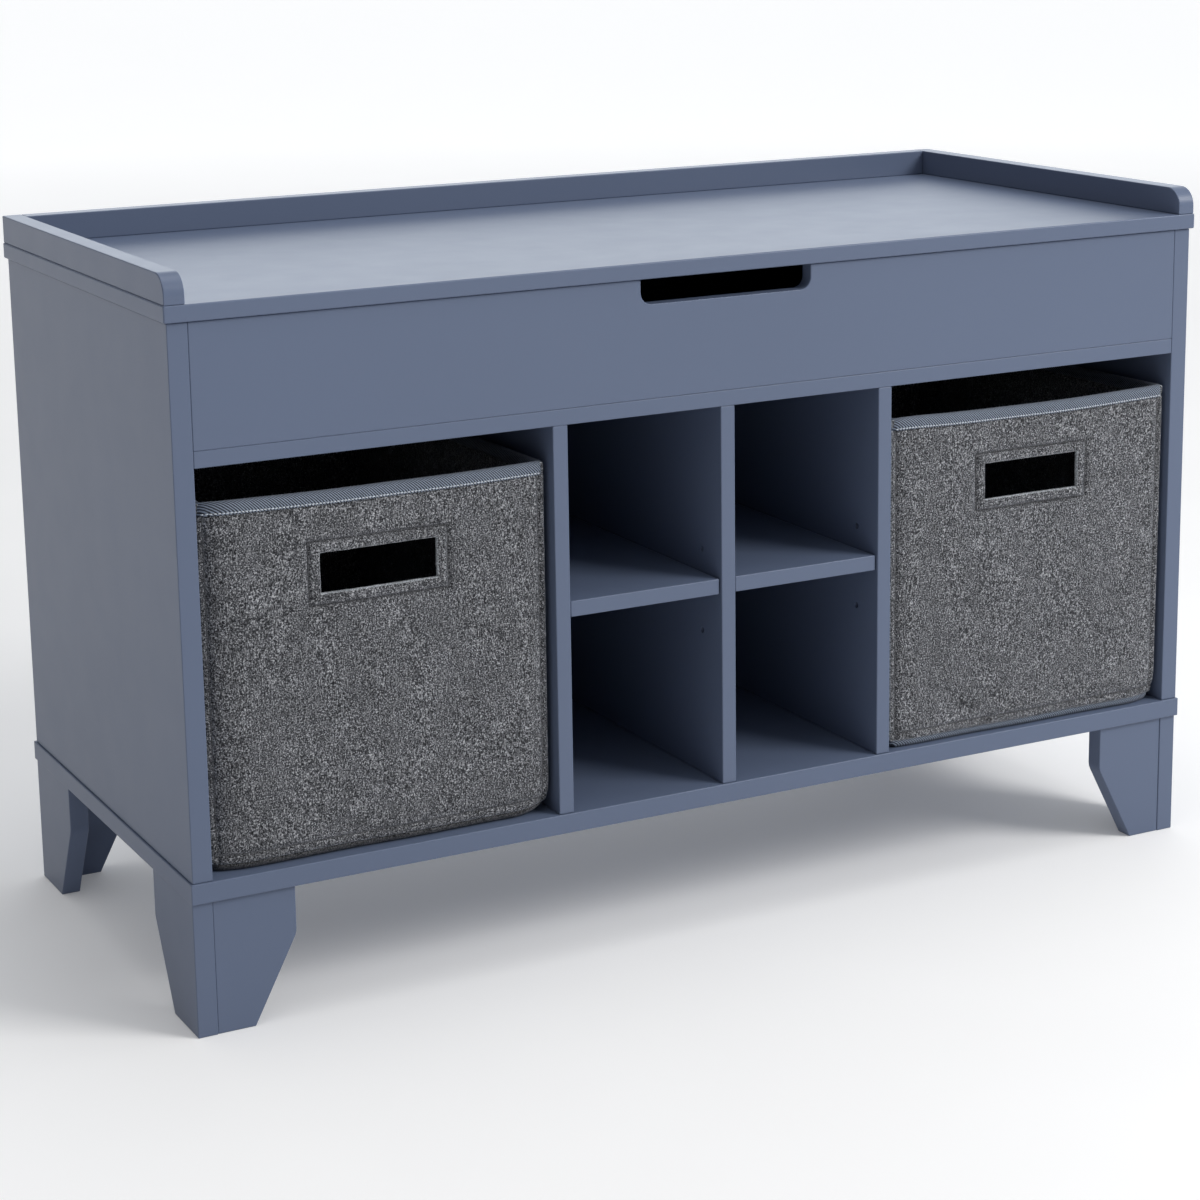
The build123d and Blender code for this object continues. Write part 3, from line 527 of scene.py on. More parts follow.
def lines_between(low: float, high: float, step: float, seams: Iterable[float] = ()) -> list[float]:
    """Grid lines with a cluster at each seam.

    Args:
        low: The first line.
        high: The last line.
        step: The usual spacing.
        seams: Places that get closer lines, so that a stitched channel has its shape.

    Returns:
        The lines in order.
    """
    cluster = [place * MM for place in (-1.9, -0.8, 0.0, 0.8, 1.9)]
    closest = 0.5 * MM
    fixed = sorted({low, high, *(s + c for s in seams for c in cluster if low < s + c < high)})
    lines = [fixed[0]]
    for end in fixed[1:]:
        gap = end - lines[-1]
        if gap < closest:
            continue
        parts = max(1, round(gap / step))
        start = lines[-1]
        lines += [start + gap * (k + 1) / parts for k in range(parts)]
    lines[-1] = high
    return lines


def sweep(path: np.ndarray, outward: np.ndarray, profile: np.ndarray) -> tuple[np.ndarray, list]:
    """Carries a closed profile round a path that ends where it starts.

    Args:
        path: Points, one row each.
        outward: The level outward direction at each point.
        profile: Outward and upward offsets of each point of the profile, one set per path point.

    Returns:
        The points and faces.
    """
    count, ring = len(path), profile.shape[1]
    up = np.array([0.0, 0.0, 1.0])
    points = path[:, None, :] + profile[:, :, :1] * outward[:, None, :] + profile[:, :, 1:] * up
    faces = []
    for k in range(count):
        here, there = k * ring, ((k + 1) % count) * ring
        for j in range(ring):
            following = (j + 1) % ring
            faces.append((here + j, here + following, there + following, there + j))
    return points.reshape(-1, 3), faces


def rounded_loop(centre: Sequence[float], half: Sequence[float], radius: float, step: float) -> tuple:
    """A level rounded rectangle.

    Args:
        centre: Its middle, x, y and z.
        half: Half its length along x and y.
        radius: Its corner radius.
        step: The spacing of its points.

    Returns:
        Points and outward directions, one row each, and the distance along the loop.
    """
    points, normals = [], []
    corners = [(1, -1), (1, 1), (-1, 1), (-1, -1)]
    inner = np.array([half[0] - radius, half[1] - radius])
    middles = [np.array(centre[:2]) + np.array(corner) * inner for corner in corners]
    bend = max(3, math.ceil(radius * math.pi / 2 / step))
    for corner in range(4):
        for k in range(bend + 1):
            angle = math.radians(90 * (corner - 1) + 90 * k / bend)
            normals.append(np.array([math.cos(angle), math.sin(angle)]))
            points.append(middles[corner] + radius * normals[-1])
        first, last = points[-1], middles[(corner + 1) % 4] + radius * normals[-1]
        parts = max(1, round(np.linalg.norm(last - first) / step))
        for k in range(1, parts):
            points.append(first + (last - first) * k / parts)
            normals.append(normals[-1])
    flat = np.array(points)
    loop = np.column_stack([flat, np.full(len(flat), centre[2])])
    away = np.column_stack([np.array(normals), np.zeros(len(flat))])
    steps = np.linalg.norm(np.diff(loop, axis=0, append=loop[:1]), axis=1)
    return loop, away, np.concatenate([[0], np.cumsum(steps)[:-1]])


@dataclass(frozen=True)
class Stitch:
    """The size of one stitch of a machine-sewn row."""

    pitch: float = 2.7 * MM
    length: float = 2.1 * MM
    radius: float = 0.48 * MM
    rise: float = 0.35 * MM
    sides: int = 6
    rings: int = 5
    tilt: float = 0.10
    stretch: tuple[float, float] = (0.93, 1.05)

    def shape(self) -> tuple[np.ndarray, list]:
        """One arched stitch along +X, lifted along +Z.

        Returns:
            Its points and faces.
        """
        points, faces = [], []
        for k in range(self.rings):
            share = 2 * k / (self.rings - 1) - 1
            place = share * self.length / 2
            width = self.radius * math.sqrt(max(0.12, 1 - share**4))
            middle = self.rise * (1 - share * share) - self.radius * 0.6
            for j in range(self.sides):
                angle = 2 * math.pi * j / self.sides
                points.append((place, width * math.cos(angle), middle + width * math.sin(angle)))
        for k in range(self.rings - 1):
            for j in range(self.sides):
                following = (j + 1) % self.sides
                here, there = k * self.sides, (k + 1) * self.sides
                faces.append((here + j, here + following, there + following, there + j))
        faces.append(tuple(range(self.sides)))
        faces.append(tuple(range((self.rings - 1) * self.sides, self.rings * self.sides)))
        return np.array(points), faces


class Sewing:
    """Collects rows of stitches into one mesh."""

    def __init__(self, stitch: Stitch, seed: int) -> None:
        """Starts with no stitches.

        Args:
            stitch: The stitch that every row repeats.
            seed: What fixes each stitch's small tilt.
        """
        self.stitch = stitch
        self.random = Random(seed)
        self.points: list[np.ndarray] = []
        self.faces: list[tuple] = []

    def row(self, start: Sequence[float], end: Sequence[float], outward: Sequence[float]) -> None:
        """Sews one straight row.

        Args:
            start: Where it starts.
            end: Where it ends.
            outward: The direction out of the cloth.
        """
        shape, faces = self.stitch.shape()
        first, last = np.array(start, float), np.array(end, float)
        length = np.linalg.norm(last - first)
        along = (last - first) / length
        up = np.array(outward, float)
        across = np.cross(up, along)
        count = max(1, round(length / self.stitch.pitch))
        for k in range(count):
            middle = first + along * length * (k + 0.5) / count
            tilt = self.random.uniform(-self.stitch.tilt, self.stitch.tilt)
            stretch = self.random.uniform(*self.stitch.stretch)
            lean = along * math.cos(tilt) + across * math.sin(tilt)
            side = np.cross(up, lean)
            base = self.total
            points = middle + shape[:, :1] * stretch * lean + shape[:, 1:2] * side + shape[:, 2:] * up
            self.points.append(points)
            self.faces += [tuple(base + i for i in face) for face in faces]

    @property
    def total(self) -> int:
        """How many points there are so far."""
        return len(self.points) * self.stitch.sides * self.stitch.rings


# ---------------------------------------------------------------- felt baskets


@dataclass(frozen=True)
class Slump:
    """How one basket's soft walls leave their flat, square shape.

    Lengths are in metres. Shares are of the length above them, and reaches of the basket's own height.
    """

    crown: float = 2.0 * MM  # bulge of the front and back walls
    side_pull: float = 2.2 * MM  # waist of the side walls
    rim_pull_share: float = 0.35
    rim_sag: float = 2.0 * MM
    side_sag_share: float = 0.8
    corner_roll: float = 11.0 * MM  # how far the left front corner folds back
    corner_reach: float = 30.0 * MM
    corner_drop: float = 2.0 * MM
    foot_roll_share: float = 0.55
    foot_reach: float = 0.12
    far_corner_roll: float = 1.5 * MM  # the same on the right
    far_rim_share: float = 0.3
    heel_lift: float = 4.5 * MM  # how far the right foot curls up
    heel_roll: float = 6.0 * MM
    heel_reach: float = 0.10
    toe_roll: float = 3.5 * MM  # how far the whole foot tucks in
    toe_reach: float = 14.0 * MM
    side_toe_share: float = 0.6
    wave: float = 0.6 * MM
    wave_turns: tuple[float, float] = (7.3, 4.1)
    wave_phase: float = 0.0


@dataclass
class FeltBasket:
    """A box of felt walls with a cut handle, a taped rim and a stiff base board."""

    side: Side
    slump: Slump
    felt: bpy.types.Material
    # lighter felt for the cut edges: a painted highlight along every edge and round the handle hole
    edge_highlight_felt: bpy.types.Material
    tape: bpy.types.Material
    # the piping's finish; the left basket's is a darker felt copy that paints shade at its foot
    welt_cloth: bpy.types.Material
    thread: bpy.types.Material
    dark_thread: bpy.types.Material
    board: bpy.types.Material
    wall_zone: float = 0.25  # share of the half depth that the front or back wall's shaping takes
    handle_width: float = 90.0 * MM
    handle_height: float = 29.5 * MM
    handle_middle: float = 208.0 * MM  # above the foot
    facing: float = 8.5 * MM  # border sewn round the handle hole
    seam_inset: float = 4.6 * MM
    hem: float = 5.6 * MM
    hem_stitch: float = 12.0 * MM
    tape_drop: float = 10.0 * MM
    tape_thick: float = 0.9 * MM
    tape_pucker: float = 0.16 * MM
    pucker_pitch: float = 3.4 * MM
    rim_groove: float = 1.2 * MM  # above the tape's lower edge
    rim_stitch: float = 1.3 * MM
    rim_stitch_end: float = 3.0 * MM
    rim_stitch_sink: float = 0.10 * MM
    seam_end: float = 1.5 * MM  # below the tape
    bottom_gap: float = 0.4 * MM
    welt_inset: float = 0.4 * MM
    grid_step: float = 4.0 * MM
    edge_round: float = 1.1 * MM
    groove_depth: float = 1.8 * MM
    groove_width: float = 1.15 * MM
    handle_groove_share: float = 1.2
    stitch_sink_share: float = 0.75
    bead: float = 0.7 * MM
    lump: float = 0.28 * MM
    lump_scale: float = 260.0
    fuzz_scale: float = 900.0
    lump_seed: int = 5  # without one the lumps would differ from run to run
    board_radius: float = 15.0 * MM
    board_edge: float = 0.3 * MM
    pieces: list[bpy.types.Object] = field(default_factory=list)

    def __post_init__(self) -> None:
        """Reads the basket's place from the frame."""
        self.low, self.high = (np.array(v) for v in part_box(self.node("rim_binding")))
        wall_low, wall_high = (np.array(v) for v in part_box(self.node("front_panel")))
        self.floor, self.top = wall_low[2], self.high[2]
        self.thickness = wall_high[1] - wall_low[1]
        back_high = np.array(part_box(self.node("back_panel"))[1])
        self.out_low = np.array([wall_low[0], wall_low[1]])
        self.out_high = np.array([wall_high[0], back_high[1]])
        self.middle = (self.out_low + self.out_high) / 2
        self.half = (self.out_high - self.out_low) / 2

    def node(self, part: str) -> str:
        """The frame's name of one of the basket's nodes."""
        return f"{self.side.value}_basket_{part}"

    @property
    def body(self) -> str:
        """The body that the basket's pieces ride on."""
        return f"{self.side.value}_basket"

    def warp(self, points: np.ndarray) -> np.ndarray:
        """Moves points from the flat, square basket to the slumped one.

        Args:
            points: Points in the frame, one row each.

        Returns:
            The moved points.
        """
        s = self.slump
        moved = points.copy()
        u = (points[:, 0] - self.middle[0]) / self.half[0]
        v = (points[:, 1] - self.middle[1]) / self.half[1]
        rise = points[:, 2] - self.floor
        w = np.clip(rise / (self.top - self.floor), 0, 1)
        belly = 4 * w * (1 - w)
        near = 1 - self.wall_zone
        front = np.clip((-v - near) / self.wall_zone, 0, 1) ** 2
        back = np.clip((v - near) / self.wall_zone, 0, 1) ** 2
        across, along = np.clip(1 - u * u, 0, 1), np.clip(1 - v * v, 0, 1)
        sideways = np.sign(u)

        ripple = s.wave * np.sin(s.wave_turns[0] * u + s.wave_turns[1] * w + s.wave_phase) * np.sqrt(across)
        moved[:, 1] += (s.crown * across * belly + ripple) * (back - front)
        moved[:, 0] -= sideways * np.abs(u) ** 3 * s.side_pull * along * (s.rim_pull_share + belly)
        sag = across * (front + back) + along * np.abs(u) ** 4 * s.side_sag_share
        moved[:, 2] -= s.rim_sag * w**6 * sag

        reach = s.corner_reach / self.half[0]
        rolled = np.clip((-u - 1 + reach) / reach, 0, 1) ** 2
        held = s.foot_roll_share + (1 - s.foot_roll_share) * np.clip(w / s.foot_reach, 0, 1)
        moved[:, 1] += s.corner_roll * rolled * front * held
        moved[:, 2] -= s.corner_drop * rolled * front * w**8
        far = np.clip((u - 1 + reach) / reach, 0, 1) ** 2
        moved[:, 1] += s.far_corner_roll * far * front * (1 - w * (1 - s.far_rim_share))

        heel = far * np.clip(1 - w / s.heel_reach, 0, 1) ** 1.5 * front
        moved[:, 2] += s.heel_lift * heel
        moved[:, 1] += s.heel_roll * heel
        toe = np.clip(1 - rise / s.toe_reach, 0, 1) ** 2
        moved[:, 1] += s.toe_roll * toe * (front - back)
        moved[:, 0] -= sideways * s.toe_roll * s.side_toe_share * toe * np.abs(u) ** 8
        return moved

    def roughen(self, points: np.ndarray) -> np.ndarray:
        """Adds the felt's small lumps.

        Args:
            points: Points in the frame, one row each.

        Returns:
            The moved points.
        """
        noise.seed_set(self.lump_seed)
        lumps = np.array([noise.noise_vector(Vector(p) * self.lump_scale) for p in points])
        fuzz = np.array([noise.noise_vector(Vector(p) * self.fuzz_scale) for p in points])
        return points + (lumps * 0.7 + fuzz * 0.5) * self.lump

    def relief(self, a: np.ndarray, b: np.ndarray, seams: dict, hole: tuple | None) -> np.ndarray:
        """How far the face stands out of its plane because of the sewing.

        Args:
            a: Place across the panel.
            b: Place up the panel.
            seams: Lines sewn across, under "a", and up the panel, under "b".
            hole: Low and high corner of the handle hole, or None.

        Returns:
            The heights.
        """
        height = np.zeros(len(a))
        for across, places in ((a, seams["a"]), (b, seams["b"])):
            for place in places:
                height -= self.groove_depth * np.exp(-(((across - place) / self.groove_width) ** 2))
        if hole is not None:
            (a0, b0), (a1, b1) = hole
            out = np.maximum.reduce([a0 - a, a - a1, b0 - b, b - b1])
            on_facing = (out > 0) & (out < self.facing)
            height += self.bead * np.where(on_facing, np.sin(np.pi * out / self.facing), 0)
            depth = self.handle_groove_share * self.groove_depth
            height -= depth * np.exp(-(((out - self.facing) / self.groove_width) ** 2))
        return height

    def slab(
        self,
        name: str,
        size: tuple,
        place: Placement,
        seams: dict,
        replaced: str,
        hole: tuple | None = None,
    ) -> None:
        """Builds one felt panel with rounded edges.

        Args:
            name: The piece's name.
            size: Low and high corner of the panel in its own plane.
            place: Takes points across, up and into the panel to the frame.
            seams: Lines sewn across, under "a", and up the panel, under "b".
            replaced: The frame's node that the panel stands for.
            hole: Low and high corner of the handle hole, or None.
        """
        (a_low, b_low), (a_high, b_high) = size
        a_seams, b_seams = list(seams["a"]), list(seams["b"])
        if hole is not None:
            (a0, b0), (a1, b1) = hole
            a_seams += [a0 - self.facing, a1 + self.facing]
            b_seams += [b0 - self.facing, b1 + self.facing]
        a_lines = lines_between(a_low, a_high, self.grid_step, a_seams)
        b_lines = lines_between(b_low, b_high, self.grid_step, b_seams)
        if hole is not None:
            a_lines = snap(a_lines, (a0, a1))
            b_lines = snap(b_lines, (b0, b1))
        columns, rows = len(a_lines), len(b_lines)

        def kept(i: int, j: int) -> bool:
            """Whether a cell of the grid is cloth.

            Args:
                i: The cell's column.
                j: The cell's row.

            Returns:
                True for cloth, and False outside the panel and in its hole.
            """
            if not (0 <= i < columns - 1 and 0 <= j < rows - 1):
                return False
            if hole is None:
                return True
            a_mid, b_mid = (a_lines[i] + a_lines[i + 1]) / 2, (b_lines[j] + b_lines[j + 1]) / 2
            return not (a0 < a_mid < a1 and b0 < b_mid < b1)

        work = bmesh.new()
        corner: dict[tuple[int, int, int], bmesh.types.BMVert] = {}

        def at(i: int, j: int, layer: int) -> bmesh.types.BMVert:
            """The vertex at a grid point.

            Args:
                i: The grid line across.
                j: The grid line up.
                layer: 0 for the outer face and 1 for the inner one.

            Returns:
                The vertex, made when it is first asked for.
            """
            key = (i, j, layer)
            if key not in corner:
                corner[key] = work.verts.new((a_lines[i], b_lines[j], layer * self.thickness))
            return corner[key]

        for i in range(columns - 1):
            for j in range(rows - 1):
                if not kept(i, j):
                    continue
                square = [(i, j), (i + 1, j), (i + 1, j + 1), (i, j + 1)]
                work.faces.new([at(*p, 0) for p in square])
                work.faces.new([at(*p, 1) for p in reversed(square)])
                beyond = [(i, j - 1), (i + 1, j), (i, j + 1), (i - 1, j)]
                for k, cell in enumerate(beyond):
                    if not kept(*cell):
                        p, q = square[k], square[(k + 1) % 4]
                        work.faces.new([at(*q, 0), at(*p, 0), at(*p, 1), at(*q, 1)])
        work.normal_update()
        sharp = [e for e in work.edges if e.calc_face_angle(0) > 1.0]
        bmesh.ops.bevel(work, geom=sharp, offset=self.edge_round, segments=3, profile=0.5, affect="EDGES")
        work.normal_update()
        # Edge faces, the hole's walls and part of each rounding get the lighter felt: a painted highlight
        # along every cut edge.
        for cell in work.faces:
            is_edge = abs(cell.normal.z) < 0.8
            cell.material_index = int(is_edge)
        flat = np.array([v.co for v in work.verts])
        depth_share = 1 - 2 * flat[:, 2] / self.thickness
        flat[:, 2] -= self.relief(flat[:, 0], flat[:, 1], seams, hole) * depth_share
        solid = self.roughen(self.warp(place(flat)))
        for vertex, point in zip(work.verts, solid):
            vertex.co = point
        face_outward(work)
        mesh = bpy.data.meshes.new(name)
        work.to_mesh(mesh)
        work.free()
        mesh.shade_smooth()
        mesh.materials.append(self.felt)
        mesh.materials.append(self.edge_highlight_felt)
        piece = bpy.data.objects.new(name, mesh)
        bpy.context.scene.collection.objects.link(piece)
        self.keep(piece, "felt", replaced)

    def keep(self, piece: bpy.types.Object, slot: str, *replaced: str) -> None:
        """Puts a finished piece on the basket's body.

        Args:
            piece: The piece.
            slot: The record's material slot; not used.
            *replaced: The frame's nodes that it stands for.
        """
        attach(piece, self.body)
        if replaced:
            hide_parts(*replaced)
        self.pieces.append(piece)
        LOG.info("%s: %d faces", piece.name, len(piece.data.polygons))

    def face(self, wall: Panel) -> Placement:
        """How a wall's own coordinates, across, up and in, lie in the frame.

        Args:
            wall: Which wall.

        Returns:
            A function from the wall's points to the frame's.
        """
        start = {
            Panel.FRONT: self.out_low[1],
            Panel.BACK: self.out_high[1],
            Panel.LEFT: self.out_low[0],
            Panel.RIGHT: self.out_high[0],
        }[wall]
        inward = 1 if wall in (Panel.FRONT, Panel.LEFT) else -1

        def place(points: np.ndarray) -> np.ndarray:
            """Takes points to the frame.

            Args:
                points: Points across, up and into the wall, one row each.

            Returns:
                Points in the frame.
            """
            across, up, deep = points.T
            if wall in (Panel.FRONT, Panel.BACK):
                return np.column_stack([across, start + inward * deep, up])
            return np.column_stack([start + inward * deep, across, up])

        return place

    def walls(self) -> None:
        """Builds the four felt walls and the bottom."""
        rim = self.top - self.tape_thick
        low = self.floor + self.hem
        sewn_up = [self.floor + self.hem_stitch, self.top - self.tape_drop + self.rim_groove]
        sewn_across = [self.out_low[0] + self.seam_inset, self.out_high[0] - self.seam_inset]
        seams = {"a": sewn_across, "b": sewn_up}
        centre, height = self.middle[0], self.floor + self.handle_middle
        hole = (
            (centre - self.handle_width / 2, height - self.handle_height / 2),
            (centre + self.handle_width / 2, height + self.handle_height / 2),
        )
        wide = ((self.out_low[0], low), (self.out_high[0], rim))
        front, back = self.node("front_panel"), self.node("back_panel")
        self.slab(self.node("front_felt"), wide, self.face(Panel.FRONT), seams, front, hole)
        self.slab(self.node("back_felt"), wide, self.face(Panel.BACK), seams, back)
        deep = ((self.out_low[1] + self.thickness, low), (self.out_high[1] - self.thickness, rim))
        plain = {"a": [], "b": sewn_up}
        for wall in (Panel.LEFT, Panel.RIGHT):
            name = self.node(f"{wall.value}_felt")
            self.slab(name, deep, self.face(wall), plain, self.node("side_panels"))
        inset = self.thickness + self.bottom_gap
        floor = (tuple(self.out_low + inset), tuple(self.out_high - inset))

        def lay(points: np.ndarray) -> np.ndarray:
            """Takes points across, along and down to the frame."""
            return np.column_stack([points[:, 0], points[:, 1], self.floor + self.thickness - points[:, 2]])

        self.slab(self.node("bottom_felt"), floor, lay, {"a": [], "b": []}, self.node("bottom"))

    def binding(self) -> None:
        """Folds the tape over the rim."""
        half = self.half - self.thickness / 2
        middle = (*self.middle, self.top)
        loop, away, along = rounded_loop(middle, half, radius=3.5 * MM, step=1.7 * MM)
        wall, drop = self.thickness / 2, self.tape_drop
        outer = wall + self.tape_thick
        crown = [(outer * math.cos(t), -outer + outer * math.sin(t)) for t in np.linspace(0, math.pi, 9)]
        inner = [(wall * math.cos(t), -outer + wall * math.sin(t)) for t in np.linspace(math.pi, 0, 5)]
        profile = [(wall - 0.2 * MM, -drop), (outer - 0.25 * MM, -drop), (outer, -drop + 0.7 * MM)]
        profile += [(outer - 0.3 * MM, -drop + 1.6 * MM), (outer + 0.1 * MM, -drop + 3.2 * MM)]
        profile += crown
        profile += [(-outer, -drop * 0.6), (-outer, -drop + 0.7 * MM), (-wall + 0.2 * MM, -drop)]
        profile += inner
        rings = np.repeat(np.array(profile)[None], len(loop), axis=0)
        pucker = self.tape_pucker * np.cos(2 * np.pi * along / self.pucker_pitch)
        rings[:, 1:4, 0] += pucker[:, None]
        points, faces = sweep(loop, away, rings)
        piece = new_piece(self.node("rim_tape"), self.warp(points), faces, self.tape)
        self.keep(piece, "binding", self.node("rim_binding"))

    def welt(self) -> None:
        """Runs the piping round the foot, below the walls."""
        half = self.half - self.thickness / 2 - self.welt_inset
        radius_out, radius_up = self.thickness / 2 + 0.2 * MM, self.hem / 2 + 0.25 * MM
        middle = (*self.middle, self.floor + radius_up)
        loop, away, _ = rounded_loop(middle, half, radius=4.0 * MM, step=3.0 * MM)
        turns = np.linspace(0, 2 * math.pi, 12, endpoint=False)
        profile = np.column_stack([radius_out * np.cos(turns), radius_up * np.sin(turns)])
        points, faces = sweep(loop, away, np.repeat(profile[None], len(loop), axis=0))
        piece = new_piece(self.node("foot_welt"), self.warp(points), faces, self.welt_cloth)
        self.keep(piece, "binding")

    def base_board(self) -> None:
        """Lays the stiff board, its corners cut round to clear the soft walls."""
        low, high = (np.array(v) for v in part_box(self.node("base_board")))
        middle, half, thick = (low + high) / 2, (high - low) / 2, high[2] - low[2]
        foot = (middle[0], middle[1], low[2])
        loop, away, _ = rounded_loop(foot, half[:2], self.board_radius, step=2.5 * MM)
        edge, count = self.board_edge, len(loop)
        levels = [(-edge, 0.0), (0.0, edge), (0.0, thick - edge), (-edge, thick)]
        points = np.concatenate([loop + away * out + np.array([0.0, 0.0, up]) for out, up in levels])
        faces = [tuple(range(count)), tuple(range(3 * count, 4 * count))]
        for level in range(3):
            here, there = level * count, (level + 1) * count
            for k in range(count):
                following = (k + 1) % count
                faces.append((here + k, here + following, there + following, there + k))
        piece = new_piece(self.node("stiff_board"), points, faces, self.board)
        self.keep(piece, "stiffener", self.node("base_board"))

    def stitching(self) -> None:
        """Sews the rim, the corners, the foot and the handle."""
        rim, plain = Sewing(Stitch(), seed=11), Sewing(Stitch(), seed=12)
        (x0, y0), (x1, y1) = self.out_low, self.out_high
        proud = self.tape_thick - self.rim_stitch_sink
        up = self.top - self.tape_drop + self.rim_stitch
        gap = self.rim_stitch_end
        rim.row((x0 + gap, y0 - proud, up), (x1 - gap, y0 - proud, up), (0, -1, 0))
        rim.row((x1 - gap, y1 + proud, up), (x0 + gap, y1 + proud, up), (0, 1, 0))
        rim.row((x0 - proud, y1 - gap, up), (x0 - proud, y0 + gap, up), (-1, 0, 0))
        rim.row((x1 + proud, y0 + gap, up), (x1 + proud, y1 - gap, up), (1, 0, 0))
        sunk = self.groove_depth * self.stitch_sink_share
        low, high = self.floor + self.hem_stitch, self.top - self.tape_drop - self.seam_end
        for x in (x0 + self.seam_inset, x1 - self.seam_inset):
            plain.row((x, y0 + sunk, low), (x, y0 + sunk, high), (0, -1, 0))
            plain.row((x, y1 - sunk, low), (x, y1 - sunk, high), (0, 1, 0))
        inset = self.seam_inset
        plain.row((x0 + inset, y0 + sunk, low), (x1 - inset, y0 + sunk, low), (0, -1, 0))
        plain.row((x1 - inset, y1 - sunk, low), (x0 + inset, y1 - sunk, low), (0, 1, 0))
        plain.row((x0 + sunk, y1 - inset, low), (x0 + sunk, y0 + inset, low), (-1, 0, 0))
        plain.row((x1 - sunk, y0 + inset, low), (x1 - sunk, y1 - inset, low), (1, 0, 0))
        wide, tall = self.handle_width / 2 + self.facing, self.handle_height / 2 + self.facing
        x, z = self.middle[0], self.floor + self.handle_middle
        corners = [(x - wide, z - tall), (x + wide, z - tall), (x + wide, z + tall), (x - wide, z + tall)]
        for (xa, za), (xb, zb) in zip(corners, corners[1:] + corners[:1]):
            plain.row((xa, y0 + sunk, za), (xb, y0 + sunk, zb), (0, -1, 0))
        rows = ((rim, "rim_stitching", self.thread), (plain, "seam_stitching", self.dark_thread))
        for sewing, name, thread in rows:
            points = self.warp(np.concatenate(sewing.points))
            self.keep(new_piece(self.node(name), points, sewing.faces, thread), "binding")

    def build(self) -> None:
        """Builds and dresses the whole basket."""
        self.walls()
        self.binding()
        self.welt()
        self.base_board()
        self.stitching()


def snap(lines: list[float], edges: Sequence[float]) -> list[float]:
    """Makes the nearest grid line lie on each edge, with room for its rounding.

    Args:
        lines: Grid lines in order.
        edges: Places that need a line.

    Returns:
        The new lines in order.
    """
    room = 1.7 * MM
    clear = [line for line in lines if all(abs(line - edge) > room for edge in edges)]
    return sorted(clear + list(edges))


# ---------------------------------------------------------------- boards and hardware


@dataclass
class Dresser:
    """Gives the frame's own nodes their finishes."""

    nodes: dict[str, bpy.types.Object]
    paint: bpy.types.Material
    hardboard: bpy.types.Material
    beech: bpy.types.Material
    zinc: bpy.types.Material
    board: bpy.types.Material
    slots: dict[str, str]

    def finish_of(self, slot: str) -> bpy.types.Material:
        """The finish for one of the record's material slots.

        Args:
            slot: The slot's name.

        Returns:
            Its material.
        """
        return {
            "painted_board": self.paint,
            "back_board": self.hardboard,
            "timber": self.beech,
            "painted_timber": self.paint,
            "zinc_steel": self.zinc,
            "zinc_cast": self.zinc,
            "stiffener": self.board,
        }[slot]

    def dress(self) -> None:
        """Puts a finish on every node that stays visible."""
        for name, node in sorted(self.nodes.items()):
            if node.hide_render:
                continue
            slot = self.slots[name]
            node.data.materials.clear()
            node.data.materials.append(self.finish_of(slot))
            LOG.info("%s: %s", name, slot)


# ---------------------------------------------------------------- studio


@dataclass(frozen=True)
class Softbox:
    """A square studio light aimed at a point."""

    name: str
    place: tuple[float, float, float]
    aim: tuple[float, float, float]
    size: float
    power: float
    colour: Colour = WHITE

    def light(self) -> None:
        """Hangs the light."""
        data = bpy.data.lights.new(self.name, "AREA")
        data.size = self.size
        data.energy = self.power
        data.color = self.colour
        lamp = bpy.data.objects.new(self.name, data)
        lamp.location = self.place
        direction = Vector(self.aim) - Vector(self.place)
        lamp.rotation_euler = direction.to_track_quat("-Z", "Y").to_euler()
        lamp.visible_camera = False
        bpy.context.scene.collection.objects.link(lamp)


@dataclass(frozen=True)
class Wall:
    """One bright side of the room, seen all round by reflections."""

    towards: tuple[float, float, float]
    fades: tuple[float, float]
    colour: Colour


